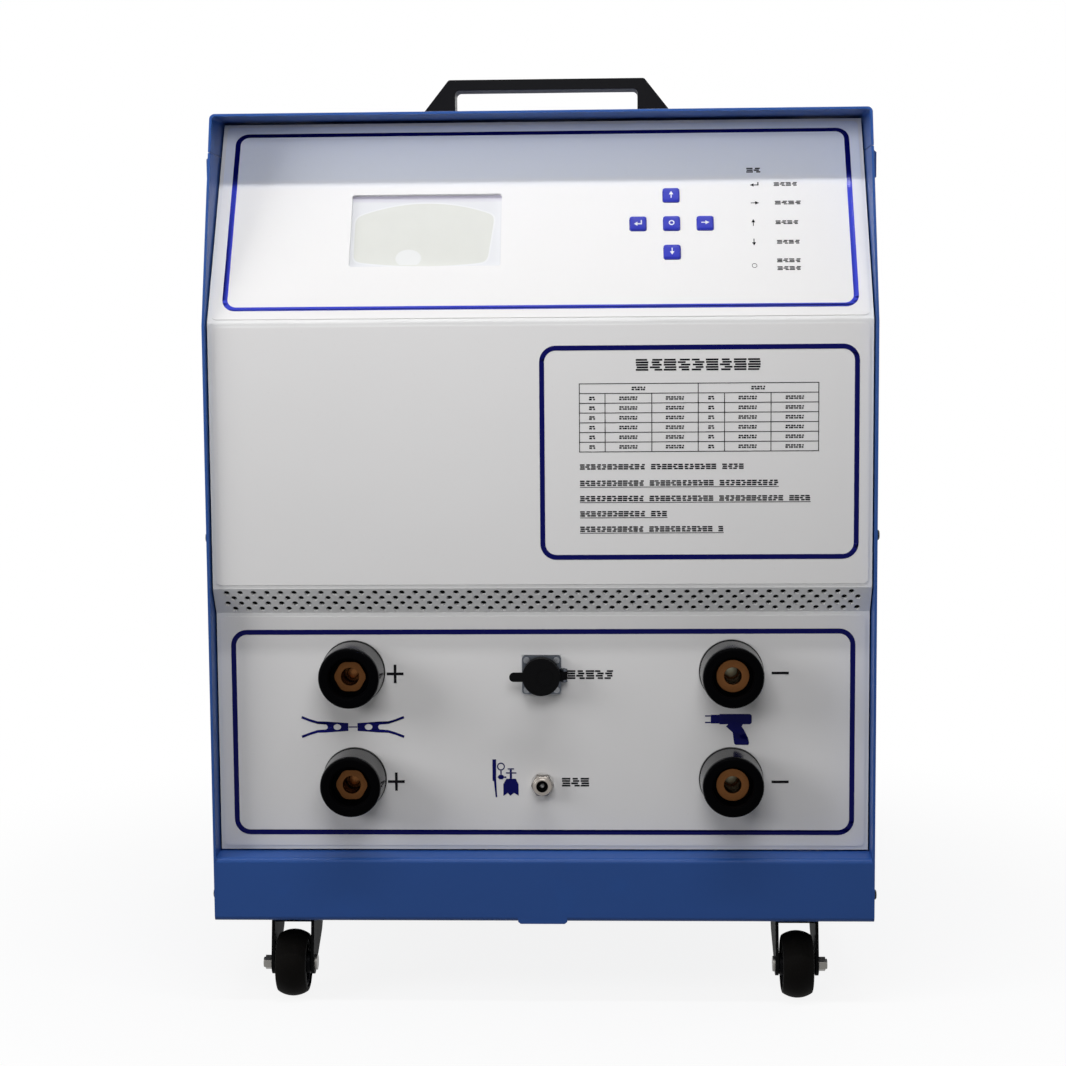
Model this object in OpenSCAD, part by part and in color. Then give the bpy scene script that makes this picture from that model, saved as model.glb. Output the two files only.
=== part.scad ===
// Stud welding power source: sheet steel cabinet on four casters
// Millimetres, +Z up from the ground, the front looks towards -Y

/* [Cabinet] */
// Width over the side panels
body_w = 510; // [480:1:560]
// Depth from the plinth front to the rear panel
body_d = 540; // [510:1:600]
// Height of the hood above the plinth's lower edge
body_h = 623.5; // [605:0.5:660]
// Height of the plinth's lower edge above the ground
ground_gap = 67; // [65:0.5:72]
// Thickness of the sheet steel
sheet_t = 2; // [1.6:0.1:2.4]
// Outer radius of the bends
bend_r = 4; // [3:0.5:6]
// Gap between neighbouring panel edges
seam_gap = 0.5; // [0.3:0.1:0.8]
// Open joint between the front panels and the blue cabinet
panel_gap = 1.2; // [0.8:0.1:2]

/* [Front profile] */
// Height where the side edges start to lean back
kink_h = 460; // [445:1:475]
// Hood front edge behind the plinth front
hood_setback = 50; // [38:1:62]
// Depth of the hood's side skirts
skirt_h = 30; // [22:1:34]
// Middle panel behind the plinth front
middle_setback = 6; // [3:0.5:9]
// Lower panel behind the plinth front
lower_setback = 18.5; // [15:0.5:24]
// Top of the control slope behind the plinth front
slope_setback = 97.3; // [88:0.1:108]
// Height of the bend between middle panel and control slope
panel_kink_h = 462; // [452:1:472]
// Height of the middle panel's lower edge
middle_bottom_h = 259; // [252:1:266]
// Height of the perforated strip under the middle panel
strip_h = 20; // [16:0.5:28]
// Height where the plinth lip meets the lower panel
plinth_h = 51.5; // [46:0.5:58]
// Rise of the plinth lip from its front edge
lip_rise = 2; // [1:0.5:8]

/* [Vent strip and louvres] */
// Diameter of the perforations
vent_hole_d = 4.5; // [3:0.1:4.6]
// Pitch of the perforations along a row
vent_pitch = 10.4; // [9.5:0.1:12]
// Rows of perforations
vent_rows = 4; // [2:1:4]
// Length of one side louvre
louvre_len = 120; // [80:1:140]
// Height of one side louvre
louvre_h = 22; // [16:1:26]
// How far a louvre stands out of the side panel
louvre_proud = 3.4; // [3:0.2:6]
// Louvres on each side
louvre_count = 3; // [1:1:3]

/* [Control slope] */
// Thickness of the printed films
film_t = 0.5; // [0.3:0.05:0.8]
// Margin of the films inside the panel edges
film_margin = 3; // [2:0.5:5]
// Display window, centre from the middle of the machine
window_x = -88; // [-110:1:-80]
// Display window, centre above the bend
window_s = 81.7; // [72:0.1:92]
// Display window width
window_w = 116.5; // [100:0.5:124]
// Display window height
window_h = 65.5; // [50:0.5:72]
// Key cross, centre from the middle of the machine
key_x = 101.5; // [90:0.5:120]
// Key cross, centre above the bend
key_s = 85.3; // [75:0.1:95]
// Distance between neighbouring keys
key_pitch = 25.8; // [22:0.1:30]
// Width of one key
key_w = 12.8; // [10:0.1:16]
// How far a key stands out of the film
key_rise = 1.3; // [1:0.1:2]
// Stroke of one key
key_travel = 0.7; // [0.4:0.1:1]

/* [Weld sockets] */
// Distance of the socket columns from the middle
socket_x = 146; // [135:0.5:158]
// Height of the upper sockets as a share of the lower panel
socket_upper_share = 0.752; // [0.72:0.002:0.78]
// Height of the lower sockets as a share of the lower panel
socket_lower_share = 0.304; // [0.28:0.002:0.34]
// Diameter of a ring at the panel
ring_base_d = 49.5; // [47:0.5:54]
// Diameter of a ring at its front edge
ring_front_d = 46.5; // [43:0.5:48]
// Length of a ring in front of the panel
ring_len = 33; // [28:0.5:40]
// Mouth of a ring
ring_mouth_d = 31; // [29:0.5:34]
// Copper face behind the ring's front edge
insert_recess = 11; // [8:0.5:14]
// Width across the flats of a positive copper insert
insert_flats = 22.5; // [22.2:0.1:24]
// Diameter of a negative copper insert's collar
insert_collar_d = 25.3; // [23:0.1:27]
// Plug bore of the positive sockets
positive_bore_d = 14; // [12:0.1:15]
// Plug bore of the negative sockets
negative_bore_d = 13.2; // [12:0.1:15]
// Depth of the plug bores
plug_bore_len = 30; // [24:0.5:32]

/* [Control socket and gas] */
// Height of the control socket as a share of the lower panel
connector_share = 0.74133; // [0.7:0.00001:0.78]
// Width of the control socket's square flange
flange_w = 30; // [29:0.5:34]
// Diameter of the control socket's barrel
barrel_d = 24; // [21:0.5:24.5]
// Length of the barrel in front of the panel
barrel_len = 12; // [11:0.5:14]
// Height of the gas fittings as a share of the lower panel
gas_share = 0.2816; // [0.26:0.0002:0.31]
// Width across the flats of the gas fittings
gas_flats = 15; // [14:0.5:17]
// Hose bore of the gas outlet
gas_bore_d = 6.2; // [4:0.1:6.6]

/* [Handle] */
// Length of the handle at its feet
handle_len = 238; // [225:1:260]
// Height of the handle
handle_h = 47; // [44:1:60]
// Depth of the handle's grip
handle_w = 26; // [20:1:32]
// Thickness of the grip
grip_t = 9; // [9:0.5:14]
// Clear length of the hand opening
hand_len = 157; // [140:1:160]
// Handle's middle behind the plinth front
handle_y = 255; // [220:1:300]

/* [Casters] */
// Wheel diameter
wheel_d = 52; // [48:0.5:53]
// Wheel width
wheel_w = 25; // [20:0.5:28]
// Distance of the casters from the middle
caster_x = 198; // [180:1:205]
// Swivel axis behind the plinth front
front_caster_y = 52; // [46:1:70]
// Rear axle in front of the rear panel
rear_caster_inset = 60; // [50:1:90]
// Trail of the front casters
caster_trail = 24; // [20:0.5:26]
// Diameter of the caster axles
axle_d = 8; // [6:0.5:9]
// Diameter of the swivel pins
kingpin_d = 10; // [8:0.5:12]
// Thickness of the caster steel
fork_t = 2.5; // [2:0.1:3]

/* [Rear fittings] */
// Fan frame width
fan_w = 119; // [110:1:125]
// Fan frame depth
fan_depth = 38; // [32:1:42]
// Height of the fan
fan_h = 430; // [400:1:460]
// Distance of breaker and cable gland from the middle
rear_fitting_x = 140; // [130:1:160]
// Height of the breaker
breaker_h = 430; // [400:1:460]
// Width of the breaker
breaker_w = 54; // [48:1:60]
// Height of the cable gland
gland_h = 150; // [130:1:170]
// Cable bore of the gland
gland_bore_d = 18; // [14:0.5:20]
// Length of the gland behind the rear panel
gland_out = 36; // [32:1:42]
// Diameter of the gas inlet's hose tail
hose_tail_d = 9; // [7:0.5:10]

/* [Power section] */
// Stack thickness of the transformer core
core_t = 90; // [70:1:100]
// Height of the transformer core
core_h = 250; // [220:1:280]
// Width of one transformer limb
limb_w = 55; // [45:1:60]
// Width of one core window
core_window_w = 62; // [58:1:70]
// Thickness of one winding
winding_t = 26; // [20:0.5:28]
// Length of the heatsink
heatsink_len = 200; // [160:1:220]
// Height of the heatsink
heatsink_h = 180; // [140:1:200]

/* [Hidden] */

$fn = 64;
blue_paint = "#2f62b4";
white_paint = "#dfe2e8";
black_plastic = "#1b1c1e";
copper = "#b8733f";
steel = "#a9adb2";
board_green = "#2c6b45";

// Small running and fitting clearances
run_gap = 0.05;
slip_gap = 0.1;
safe_gap = 0.3;
bend_steps = 6;
eps = 1;

// Derived cabinet sizes
inner_w = body_w - 2 * sheet_t;
panel_w = inner_w - 2 * panel_gap;
lower_top_h = middle_bottom_h - strip_h;
lower_panel_h = lower_top_h - plinth_h;
socket_upper_h = plinth_h + socket_upper_share * lower_panel_h;
socket_lower_h = plinth_h + socket_lower_share * lower_panel_h;
connector_h = plinth_h + connector_share * lower_panel_h;
gas_h = plinth_h + gas_share * lower_panel_h;
hood_bottom_h = body_h - skirt_h;
side_top_h = hood_bottom_h - seam_gap;
slope_top_h = body_h - bend_r;
slope_lean = atan2(slope_setback - middle_setback, slope_top_h - panel_kink_h);
slope_len = norm([slope_setback - middle_setback, slope_top_h - panel_kink_h]);
strip_tilt = atan2(lower_setback - middle_setback, strip_h);
strip_len = norm([lower_setback - middle_setback, strip_h]);
rear_wall_h = plinth_h - lip_rise;
pan_flange_h = 38;
film_r = 4;
glue_t = 0.01;

// Screws that hold the side panels
screw_head_d = 8;
screw_head_h = 3.2;
screw_d = 4;
side_screw_y = 16;
base_screw_h = 18;
side_screw_h = 298;
tab_h = 24;
tab_d = 24;

// Keys and boards behind the slope
key_r = 2;
key_gap = 0.3;
key_flange = 1.5;
key_flange_t = 0.8;
key_stem_d = 5;
key_stem_len = 3;
switch_h = 3.5;
switch_w = 6;
board_t = 1.6;
standoff_d = 6;
key_floor = sheet_t + safe_gap + key_flange_t + key_stem_len;
key_board_depth = key_floor + key_travel + safe_gap + switch_h;
key_board_margin = 14;
key_board_w = 2 * key_pitch + key_w + 2 * key_board_margin;
window_r = 2;
window_lap = 6;
window_t = 1.5;
bezel_lap = 4;
bezel_h = 7;
module_margin = 14;

// Weld socket stack, measured from the lower panel's face
spigot_d = 32;
ring_fillet = 3;
ring_foot = 3;
insert_body_d = 22;
insert_thread_d = 20;
insert_stud_d = 12;
collar_t = 2.5;
washer_d = 42;
washer_t = 2;
big_nut_flats = 30;
big_nut_h = 8;
stud_nut_flats = 19;
stud_nut_h = 8;
bar_t = 5;
bar_w = 25;
collar_front = ring_len - insert_recess;
ring_floor = collar_front - collar_t;
bar_seat = sheet_t + washer_t + big_nut_h + 1;
stud_end = bar_seat + bar_t + stud_nut_h + 3;

// Control socket and its hinged cap
flange_t = 3;
connector_hole_d = 23;
contact_d = 20;
connector_back = 14;
hinge_out = 5;
hinge_x = flange_w / 2 + 2.5;
hinge_r = 2.4;
hinge_pin_d = 2;
knuckle_h = 6;
lug_t = 1.8;
cap_clear = 1.2;
cap_wall = 1.3;
cap_roof_t = 2.6;
cap_skirt_low = 6;
cap_tab_len = 10;
cap_tab_w = 7;
cap_inner_r = barrel_d / 2 + cap_clear;
cap_outer_r = cap_inner_r + cap_wall;
cap_roof_low = barrel_len + 0.4;

// Gas line
gas_hex_h = 9;
gas_thread_d = 10;
gas_thread_len = 25;
gas_nut_h = 5;
collet_d = 9.4;
collet_seat = 3;
collet_out = 1.6;
hose_stop = 0.6;
valve_w = 40;
valve_d = 34;
coil_d = 26;
coil_len = 36;
hose_d = 10;
gas_inlet_out = 30;
inlet_thread_len = 14;

// Casters
caster_bolt_pitch = 44;
caster_bolt_d = 6;
caster_nut_flats = 10;
caster_head_h = 4;
caster_nut_r = caster_nut_flats / 2 / cos(30);
caster_plate_margin = 8;
caster_plate_w = caster_bolt_pitch + 2 * caster_plate_margin;
race_d = 40;
race_h = 4;
caster_nut_h = race_h - 0.5;
fork_top_z = ground_gap - fork_t - race_h;
wheel_gap = 1.8;
axle_end_r = 9;
nut_flats = 10;
nut_h = 7;
nut_stub = 1.5;
axle_head_d = 12;
axle_head_h = 2;
rear_caster_y = body_d - rear_caster_inset;

// Fan, breaker and gland
fan_hole_d = fan_w - 7;
fan_bolt_pitch = 0.88 * fan_w;
fan_hub_d = 48;
fan_shaft_d = 6;
fan_blades = 7;
fan_blade_tilt = 38;
fan_blade_chord = 26;
fan_strut_t = 4;
guard_wire_d = 3;
guard_rings = 5;
guard_bite = 0.6;
breaker_body_h = 84;
breaker_nose_h = 46;
breaker_nose_out = 5;
breaker_body_d = 60;
toggle_r = 7;
toggle_w = 19;
toggle_lever = 17;
toggle_rest = -22;
toggle_pin_d = 4;
toggle_pin_len = 4;
gland_flats = 42;
gland_thread_d = 32;
gland_in = 14;

// Power section
floor_z = ground_gap + sheet_t;
foot_h = 15;
foot_w = 30;
foot_reach = 30;
transformer_x = -130;
transformer_y = 300;
core_len = 3 * limb_w + 2 * core_window_w;
winding_gap = 0.5;
heatsink_y = 180;
heatsink_base_t = 8;
fin_t = 2.5;
fin_pitch = 10;
fin_len = 40;
thyristor_w = 34;
thyristor_t = 30;
thyristor_h = 94;
board_w = 220;
board_h = 150;
board_standoff = 15;
board_middle_h = 360;
capacitor_pitch = 60;
capacitor_d = 22;
capacitor_h = 12;
capacitor_rise = 10;
terminal_w = 140;
terminal_h = 22;
terminal_d = 10;
terminal_drop = 44;

// The part's origin lies under the middle of its box
front_most = lower_setback - ring_len;
rear_most = body_d + gland_out;
middle_y = (front_most + rear_most) / 2;

// Folded sheets: points of one face along a line of corners
function unit(v) = v / norm(v);
function left_of(v) = [-v[1], v[0]];
function turned(v, a) = [v[0] * cos(a) - v[1] * sin(a), v[0] * sin(a) + v[1] * cos(a)];
function arc(c, r, a0, a1) =
    [for (k = [0 : bend_steps]) c + r * [cos(a0 + (a1 - a0) * k / bend_steps), sin(a0 + (a1 - a0) * k / bend_steps)]];
function bend(p0, p1, p2, r, off) =
    let (
        d1 = unit(p1 - p0),
        d2 = unit(p2 - p1),
        s = sign(d1[0] * d2[1] - d1[1] * d2[0]),
        phi = acos(d1 * d2),
        c = p1 - r * tan(phi / 2) * d1 + s * r * left_of(d1)
    )
    [for (k = [0 : bend_steps]) c - s * (r - s * off) * turned(left_of(d1), s * phi * k / bend_steps)];
function face_line(pts, r, off) =
    let (n = len(pts) - 1)
    concat(
        [pts[0] + off * left_of(unit(pts[1] - pts[0]))],
        [for (i = [1 : n - 1]) each bend(pts[i - 1], pts[i], pts[i + 1], r, off)],
        [pts[n] + off * left_of(unit(pts[n] - pts[n - 1]))]
    );
function backwards(list) = [for (i = [len(list) - 1 : -1 : 0]) list[i]];
function folded(pts, r, t) = concat(face_line(pts, r, 0), backwards(face_line(pts, r, t)));

// Setback of the side edge at a height above the kink
function lean_y(h) = hood_setback * (h - kink_h) / (body_h - kink_h);

// Profiles drawn in Y and Z, extruded along X about the middle
module along_x(w) {
    rotate([90, 0, 90]) linear_extrude(w, center = true) children();
}

// Profiles drawn in X and Z, extruded along +Y
module along_y(d) {
    translate([0, d, 0]) rotate([90, 0, 0]) linear_extrude(d) children();
}

// Frames on the panels: local z points out of the panel, local y up
module on_slope(x, s) {
    translate([x, middle_setback + s * sin(slope_lean), ground_gap + panel_kink_h + s * cos(slope_lean)])
        rotate([90 - slope_lean, 0, 0]) children();
}
module on_strip(x, s) {
    translate([x, lower_setback - s * sin(strip_tilt), ground_gap + lower_top_h + s * cos(strip_tilt)])
        rotate([90 + strip_tilt, 0, 0]) children();
}
module on_middle(x, h) {
    translate([x, middle_setback, ground_gap + h]) rotate([90, 0, 0]) children();
}
module on_lower(x, h) {
    translate([x, lower_setback, ground_gap + h]) rotate([90, 0, 0]) children();
}
module on_rear(x, h) {
    translate([x, body_d, ground_gap + h]) rotate([90, 0, 180]) children();
}
module on_side(side, y, h) {
    translate([side * body_w / 2, y, ground_gap + h]) rotate([0, side * 90, 0]) children();
}

// Shapes used more than once
module rounded(w, h, r) {
    square([w - 2 * r, h], center = true);
    square([w, h - 2 * r], center = true);
    for (sx = [-1, 1], sy = [-1, 1]) translate([sx * (w / 2 - r), sy * (h / 2 - r)]) circle(r);
}
module hex_prism(flats, h) {
    cylinder(d = flats / cos(30), h = h, $fn = 6);
}
module tube(d_out, d_in, h) {
    difference() {
        cylinder(d = d_out, h = h);
        translate([0, 0, -eps]) cylinder(d = d_in, h = h + 2 * eps);
    }
}
module at_corners(w, h) {
    for (sx = [-1, 1], sy = [-1, 1]) translate([sx * w / 2, sy * h / 2, 0]) children();
}
module at_keys() {
    for (k = [[-1, 0], [0, 1], [0, 0], [0, -1], [1, 0]])
        on_slope(key_x + k[0] * key_pitch, key_s + k[1] * key_pitch) children();
}
module at_sockets() {
    for (side = [-1, 1], h = [socket_lower_h, socket_upper_h]) on_lower(side * socket_x, h) children();
}
module at_side_screws() {
    for (side = [-1, 1], y = [side_screw_y, body_d - side_screw_y], h = [base_screw_h, side_screw_h])
        on_side(side, y, h) children();
}
module at_caster_bolts() {
    for (side = [-1, 1], y = [front_caster_y, rear_caster_y])
        translate([side * caster_x, y, ground_gap]) at_corners(caster_bolt_pitch, caster_bolt_pitch) children();
}
module screw_hole(depth) {
    translate([0, 0, -depth]) cylinder(d = screw_d + 2 * slip_gap, h = depth + eps);
}

// Cabinet sheets
pan_line = [
    [lower_setback + sheet_t, plinth_h],
    [0, plinth_h - lip_rise],
    [0, 0],
    [body_d, 0],
    [body_d, rear_wall_h]
];
drop_tab_w = 38;
drop_tab_h = 1.6;

module base_pan() {
    color(blue_paint) difference() {
        union() {
            translate([0, 0, ground_gap]) along_x(inner_w) polygon(folded(pan_line, bend_r, sheet_t));
            for (side = [-1, 1])
                translate([side * (inner_w - sheet_t) / 2, body_d / 2, ground_gap + pan_flange_h / 2])
                    cube([sheet_t, body_d - 2 * bend_r, pan_flange_h], center = true);
            translate([0, 0, ground_gap]) along_y(sheet_t) polygon([
                [-drop_tab_w / 2, bend_r + eps],
                [-drop_tab_w / 2, 0],
                [-drop_tab_w / 2 + 2, -drop_tab_h],
                [drop_tab_w / 2 - 2, -drop_tab_h],
                [drop_tab_w / 2, 0],
                [drop_tab_w / 2, bend_r + eps]
            ]);
        }
        at_side_screws() screw_hole(3 * sheet_t);
        at_caster_bolts() translate([0, 0, -eps]) cylinder(d = caster_bolt_d + 2 * slip_gap, h = sheet_t + 2 * eps);
    }
}

side_corner_r = 4;
louvre_wall = 1.4;
louvre_run = 3;
louvre_guard = 8;
louvre_space = 26;
louvre_step = louvre_len + louvre_space;
louvre_first_y = hood_setback + 2;
louvre_top_h = side_top_h - 1;

module louvre_shape(len) {
    translate([0, louvre_first_y, 0]) along_y(len) children();
}
module side_sheet() {
    difference() {
        union() {
            translate([body_w / 2 - sheet_t / 2, 0, ground_gap]) along_x(sheet_t) polygon(concat(
                arc([side_corner_r, side_corner_r], side_corner_r, 180, 270),
                arc([body_d - side_corner_r, side_corner_r], side_corner_r, 270, 360),
                [[body_d, side_top_h], [lean_y(side_top_h), side_top_h], [0, kink_h]]
            ));
            for (i = [0 : louvre_count - 1])
                translate([body_w / 2, i * louvre_step, ground_gap + louvre_top_h]) louvre_shape(louvre_len)
                    polygon([
                        [-sheet_t / 2, 0],
                        [0, 0],
                        [louvre_proud, -louvre_run],
                        [louvre_proud, -louvre_h],
                        [-sheet_t / 2, -louvre_h]
                    ]);
        }
        intersection() {
            for (i = [0 : louvre_count - 1])
                translate([body_w / 2, i * louvre_step + louvre_wall, ground_gap + louvre_top_h])
                    louvre_shape(louvre_len - 2 * louvre_wall) polygon([
                        [-sheet_t - eps, -louvre_h],
                        [0, -louvre_h],
                        [0, -louvre_h - eps],
                        [louvre_proud - louvre_wall, -louvre_h - eps],
                        [louvre_proud - louvre_wall, -louvre_run - louvre_wall],
                        [0, -2 * louvre_wall],
                        [-sheet_t - eps, -2 * louvre_wall]
                    ]);
            translate([0, slope_setback + louvre_guard, ground_gap]) cube([body_w, body_d, body_h]);
        }
        at_side_screws() screw_hole(2 * sheet_t);
    }
}
module right_side_panel() {
    color(blue_paint) side_sheet();
}
module left_side_panel() {
    color(blue_paint) mirror([1, 0, 0]) side_sheet();
}

hood_line = [
    [-body_w / 2, hood_bottom_h],
    [-body_w / 2, body_h],
    [body_w / 2, body_h],
    [body_w / 2, hood_bottom_h]
];
handle_screw_x = handle_len / 2 - 14;

module top_cover() {
    color(blue_paint) difference() {
        union() {
            intersection() {
                translate([0, 0, ground_gap]) along_y(body_d) polygon(folded(hood_line, bend_r, -sheet_t));
                translate([0, 0, ground_gap]) along_x(body_w + 2 * eps) polygon([
                    [lean_y(hood_bottom_h), hood_bottom_h],
                    [body_d, hood_bottom_h],
                    [body_d, body_h],
                    [hood_setback, body_h]
                ]);
            }
            translate([0, body_d - sheet_t / 2, ground_gap + (hood_bottom_h + body_h - sheet_t) / 2])
                cube([inner_w, sheet_t, skirt_h - sheet_t], center = true);
        }
        for (side = [-1, 1]) translate([side * handle_screw_x, handle_y, ground_gap + body_h - sheet_t - eps])
            cylinder(d = screw_d + 2 * slip_gap, h = sheet_t + 2 * eps);
    }
}

upper_line = [
    [middle_setback, middle_bottom_h],
    [middle_setback, panel_kink_h],
    [slope_setback, slope_top_h]
];

module upper_front_panel() {
    color(white_paint) difference() {
        union() {
            translate([0, 0, ground_gap]) along_x(panel_w) polygon(folded(upper_line, bend_r, -sheet_t));
            for (side = [-1, 1])
                translate([side * (panel_w - sheet_t) / 2, middle_setback + sheet_t / 2 + tab_d / 2, ground_gap + side_screw_h])
                    cube([sheet_t, tab_d, tab_h], center = true);
        }
        on_slope(window_x, window_s) translate([0, 0, -sheet_t - eps]) linear_extrude(sheet_t + 2 * eps)
            rounded(window_w, window_h, window_r);
        at_keys() translate([0, 0, -sheet_t - eps]) linear_extrude(sheet_t + 2 * eps)
            rounded(key_w + 2 * key_gap, key_w + 2 * key_gap, key_r);
        at_side_screws() screw_hole(3 * sheet_t);
    }
}

strip_flat = sheet_t / cos(strip_tilt);
vent_row_step = vent_pitch / 2;
vent_count = floor(panel_w / vent_pitch) - 1;

module vent_strip() {
    color(white_paint) difference() {
        translate([0, 0, ground_gap]) along_x(panel_w) polygon([
            [lower_setback, lower_top_h],
            [lower_setback + strip_flat, lower_top_h],
            [middle_setback + strip_flat, middle_bottom_h],
            [middle_setback, middle_bottom_h]
        ]);
        for (row = [0 : vent_rows - 1], i = [0 : vent_count - 1])
            on_strip((i - (vent_count - 1) / 2 + (row % 2 == 0 ? 0.25 : -0.25)) * vent_pitch,
                     strip_len / 2 + (row - (vent_rows - 1) / 2) * vent_row_step)
                translate([0, 0, -sheet_t - eps]) cylinder(d = vent_hole_d, h = sheet_t + 2 * eps, $fn = 24);
    }
}

lower_bottom_h = plinth_h + panel_gap;
spigot_hole_d = spigot_d + 2 * slip_gap;
connector_screw_pitch = flange_w - 7;
connector_screw_d = 3;

module lower_front_panel() {
    color(white_paint) difference() {
        on_lower(0, (lower_bottom_h + lower_top_h) / 2) translate([0, 0, -sheet_t])
            linear_extrude(sheet_t) square([panel_w, lower_top_h - lower_bottom_h], center = true);
        at_sockets() translate([0, 0, -sheet_t - eps]) cylinder(d = spigot_hole_d, h = sheet_t + 2 * eps);
        on_lower(0, connector_h) translate([0, 0, -sheet_t - eps]) {
            cylinder(d = connector_hole_d + 2 * slip_gap, h = sheet_t + 2 * eps);
            at_corners(connector_screw_pitch, connector_screw_pitch)
                cylinder(d = connector_screw_d + 2 * slip_gap, h = sheet_t + 2 * eps);
        }
        on_lower(0, gas_h) translate([0, 0, -sheet_t - eps])
            cylinder(d = gas_thread_d + 2 * slip_gap, h = sheet_t + 2 * eps);
    }
}

rear_bottom_h = rear_wall_h + seam_gap;
rear_top_h = hood_bottom_h - seam_gap;

module rear_panel() {
    color(blue_paint) difference() {
        union() {
            on_rear(0, (rear_bottom_h + rear_top_h) / 2) translate([0, 0, -sheet_t])
                linear_extrude(sheet_t) square([panel_w, rear_top_h - rear_bottom_h], center = true);
            for (side = [-1, 1])
                translate([side * (panel_w - sheet_t) / 2, body_d - sheet_t / 2 - tab_d / 2, ground_gap + side_screw_h])
                    cube([sheet_t, tab_d, tab_h], center = true);
        }
        on_rear(0, fan_h) translate([0, 0, -sheet_t - eps]) {
            cylinder(d = fan_hole_d, h = sheet_t + 2 * eps);
            at_corners(fan_bolt_pitch, fan_bolt_pitch) cylinder(d = screw_d + 2 * slip_gap, h = sheet_t + 2 * eps);
        }
        on_rear(rear_fitting_x, breaker_h) translate([0, 0, -sheet_t - eps]) linear_extrude(sheet_t + 2 * eps)
            square([breaker_w + 2 * slip_gap, breaker_nose_h + 2 * slip_gap], center = true);
        on_rear(rear_fitting_x, gland_h) translate([0, 0, -sheet_t - eps])
            cylinder(d = gland_thread_d + 2 * slip_gap, h = sheet_t + 2 * eps);
        on_rear(0, gas_h) translate([0, 0, -sheet_t - eps])
            cylinder(d = gas_thread_d + 2 * slip_gap, h = sheet_t + 2 * eps);
        at_side_screws() screw_hole(3 * sheet_t);
    }
}

handle_shoulder = 35;
handle_corner_r = 3;
hand_corner_r = 4;
handle_foot_h = 3;

module carry_handle() {
    color(black_plastic) translate([0, handle_y - handle_w / 2, ground_gap + body_h]) difference() {
        along_y(handle_w) difference() {
            polygon(concat(
                [[-handle_len / 2, 0], [handle_len / 2, 0], [handle_len / 2, handle_foot_h]],
                bend([handle_len / 2, handle_foot_h], [handle_len / 2 - handle_shoulder, handle_h], [0, handle_h],
                     handle_corner_r, 0),
                bend([0, handle_h], [-handle_len / 2 + handle_shoulder, handle_h], [-handle_len / 2, handle_foot_h],
                     handle_corner_r, 0),
                [[-handle_len / 2, handle_foot_h]]
            ));
            translate([0, (handle_h - grip_t) / 2]) rounded(hand_len, handle_h - grip_t, hand_corner_r);
            translate([0, (handle_h - grip_t) / 4]) square([hand_len, (handle_h - grip_t) / 2 + eps], center = true);
        }
        for (side = [-1, 1]) translate([side * handle_screw_x, handle_w / 2, -eps])
            cylinder(d = screw_d, h = handle_foot_h + 5);
    }
}

// Printed films
module control_overlay() {
    color("#f2f3f6") on_slope(0, 0) translate([0, 0, glue_t]) linear_extrude(film_t) difference() {
        translate([0, slope_len / 2]) rounded(panel_w - 2 * film_margin, slope_len - 2 * film_margin, film_r);
        translate([window_x, window_s]) rounded(window_w, window_h, window_r);
        for (k = [[-1, 0], [0, 1], [0, 0], [0, -1], [1, 0]])
            translate([key_x + k[0] * key_pitch, key_s + k[1] * key_pitch])
                rounded(key_w + 2 * key_gap, key_w + 2 * key_gap, key_r);
    }
}
module middle_overlay() {
    color("#f2f3f6") on_middle(0, (middle_bottom_h + panel_kink_h) / 2) linear_extrude(film_t)
        rounded(panel_w - 2 * film_margin, panel_kink_h - middle_bottom_h - 2 * film_margin, film_r);
}
module lower_overlay() {
    color("#f2f3f6") on_lower(0, 0) linear_extrude(film_t) difference() {
        translate([0, (lower_bottom_h + lower_top_h) / 2])
            rounded(panel_w - 2 * film_margin, lower_top_h - lower_bottom_h - 2 * film_margin, film_r);
        for (side = [-1, 1], h = [socket_lower_h, socket_upper_h])
            translate([side * socket_x, h]) circle(d = ring_base_d + 2 * safe_gap);
        translate([0, connector_h]) square(flange_w + 2 * safe_gap, center = true);
        translate([0, gas_h]) circle(d = gas_flats / cos(30) + 2 * safe_gap);
    }
}

// Display and keys
module display_window() {
    color("#c9d2cf") on_slope(window_x, window_s) translate([0, 0, -sheet_t - window_t])
        linear_extrude(window_t) rounded(window_w + 2 * window_lap, window_h + 2 * window_lap, window_r);
}
module display_module() {
    module_depth = sheet_t + window_t + bezel_h;
    module_w = window_w + 2 * module_margin;
    module_h = window_h + 2 * module_margin + 10;
    color(board_green) on_slope(window_x, window_s) translate([0, 0, -module_depth]) {
        linear_extrude(bezel_h) rounded(window_w + 2 * bezel_lap, window_h + 2 * bezel_lap, window_r);
        translate([0, 0, -board_t]) linear_extrude(board_t) square([module_w, module_h], center = true);
        at_corners(module_w - standoff_d - 1, module_h - standoff_d - 1)
            cylinder(d = standoff_d, h = module_depth - sheet_t);
    }
}
module key_board() {
    color(board_green) on_slope(key_x, key_s) translate([0, 0, -key_board_depth]) {
        translate([0, 0, -board_t]) linear_extrude(board_t) square(key_board_w, center = true);
        for (k = [[-1, 0], [0, 1], [0, 0], [0, -1], [1, 0]])
            translate([k[0] * key_pitch, k[1] * key_pitch, switch_h / 2])
                cube([switch_w, switch_w, switch_h], center = true);
        at_corners(key_board_w - standoff_d - 1, key_board_w - standoff_d - 1)
            cylinder(d = standoff_d, h = key_board_depth - sheet_t);
    }
}
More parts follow.
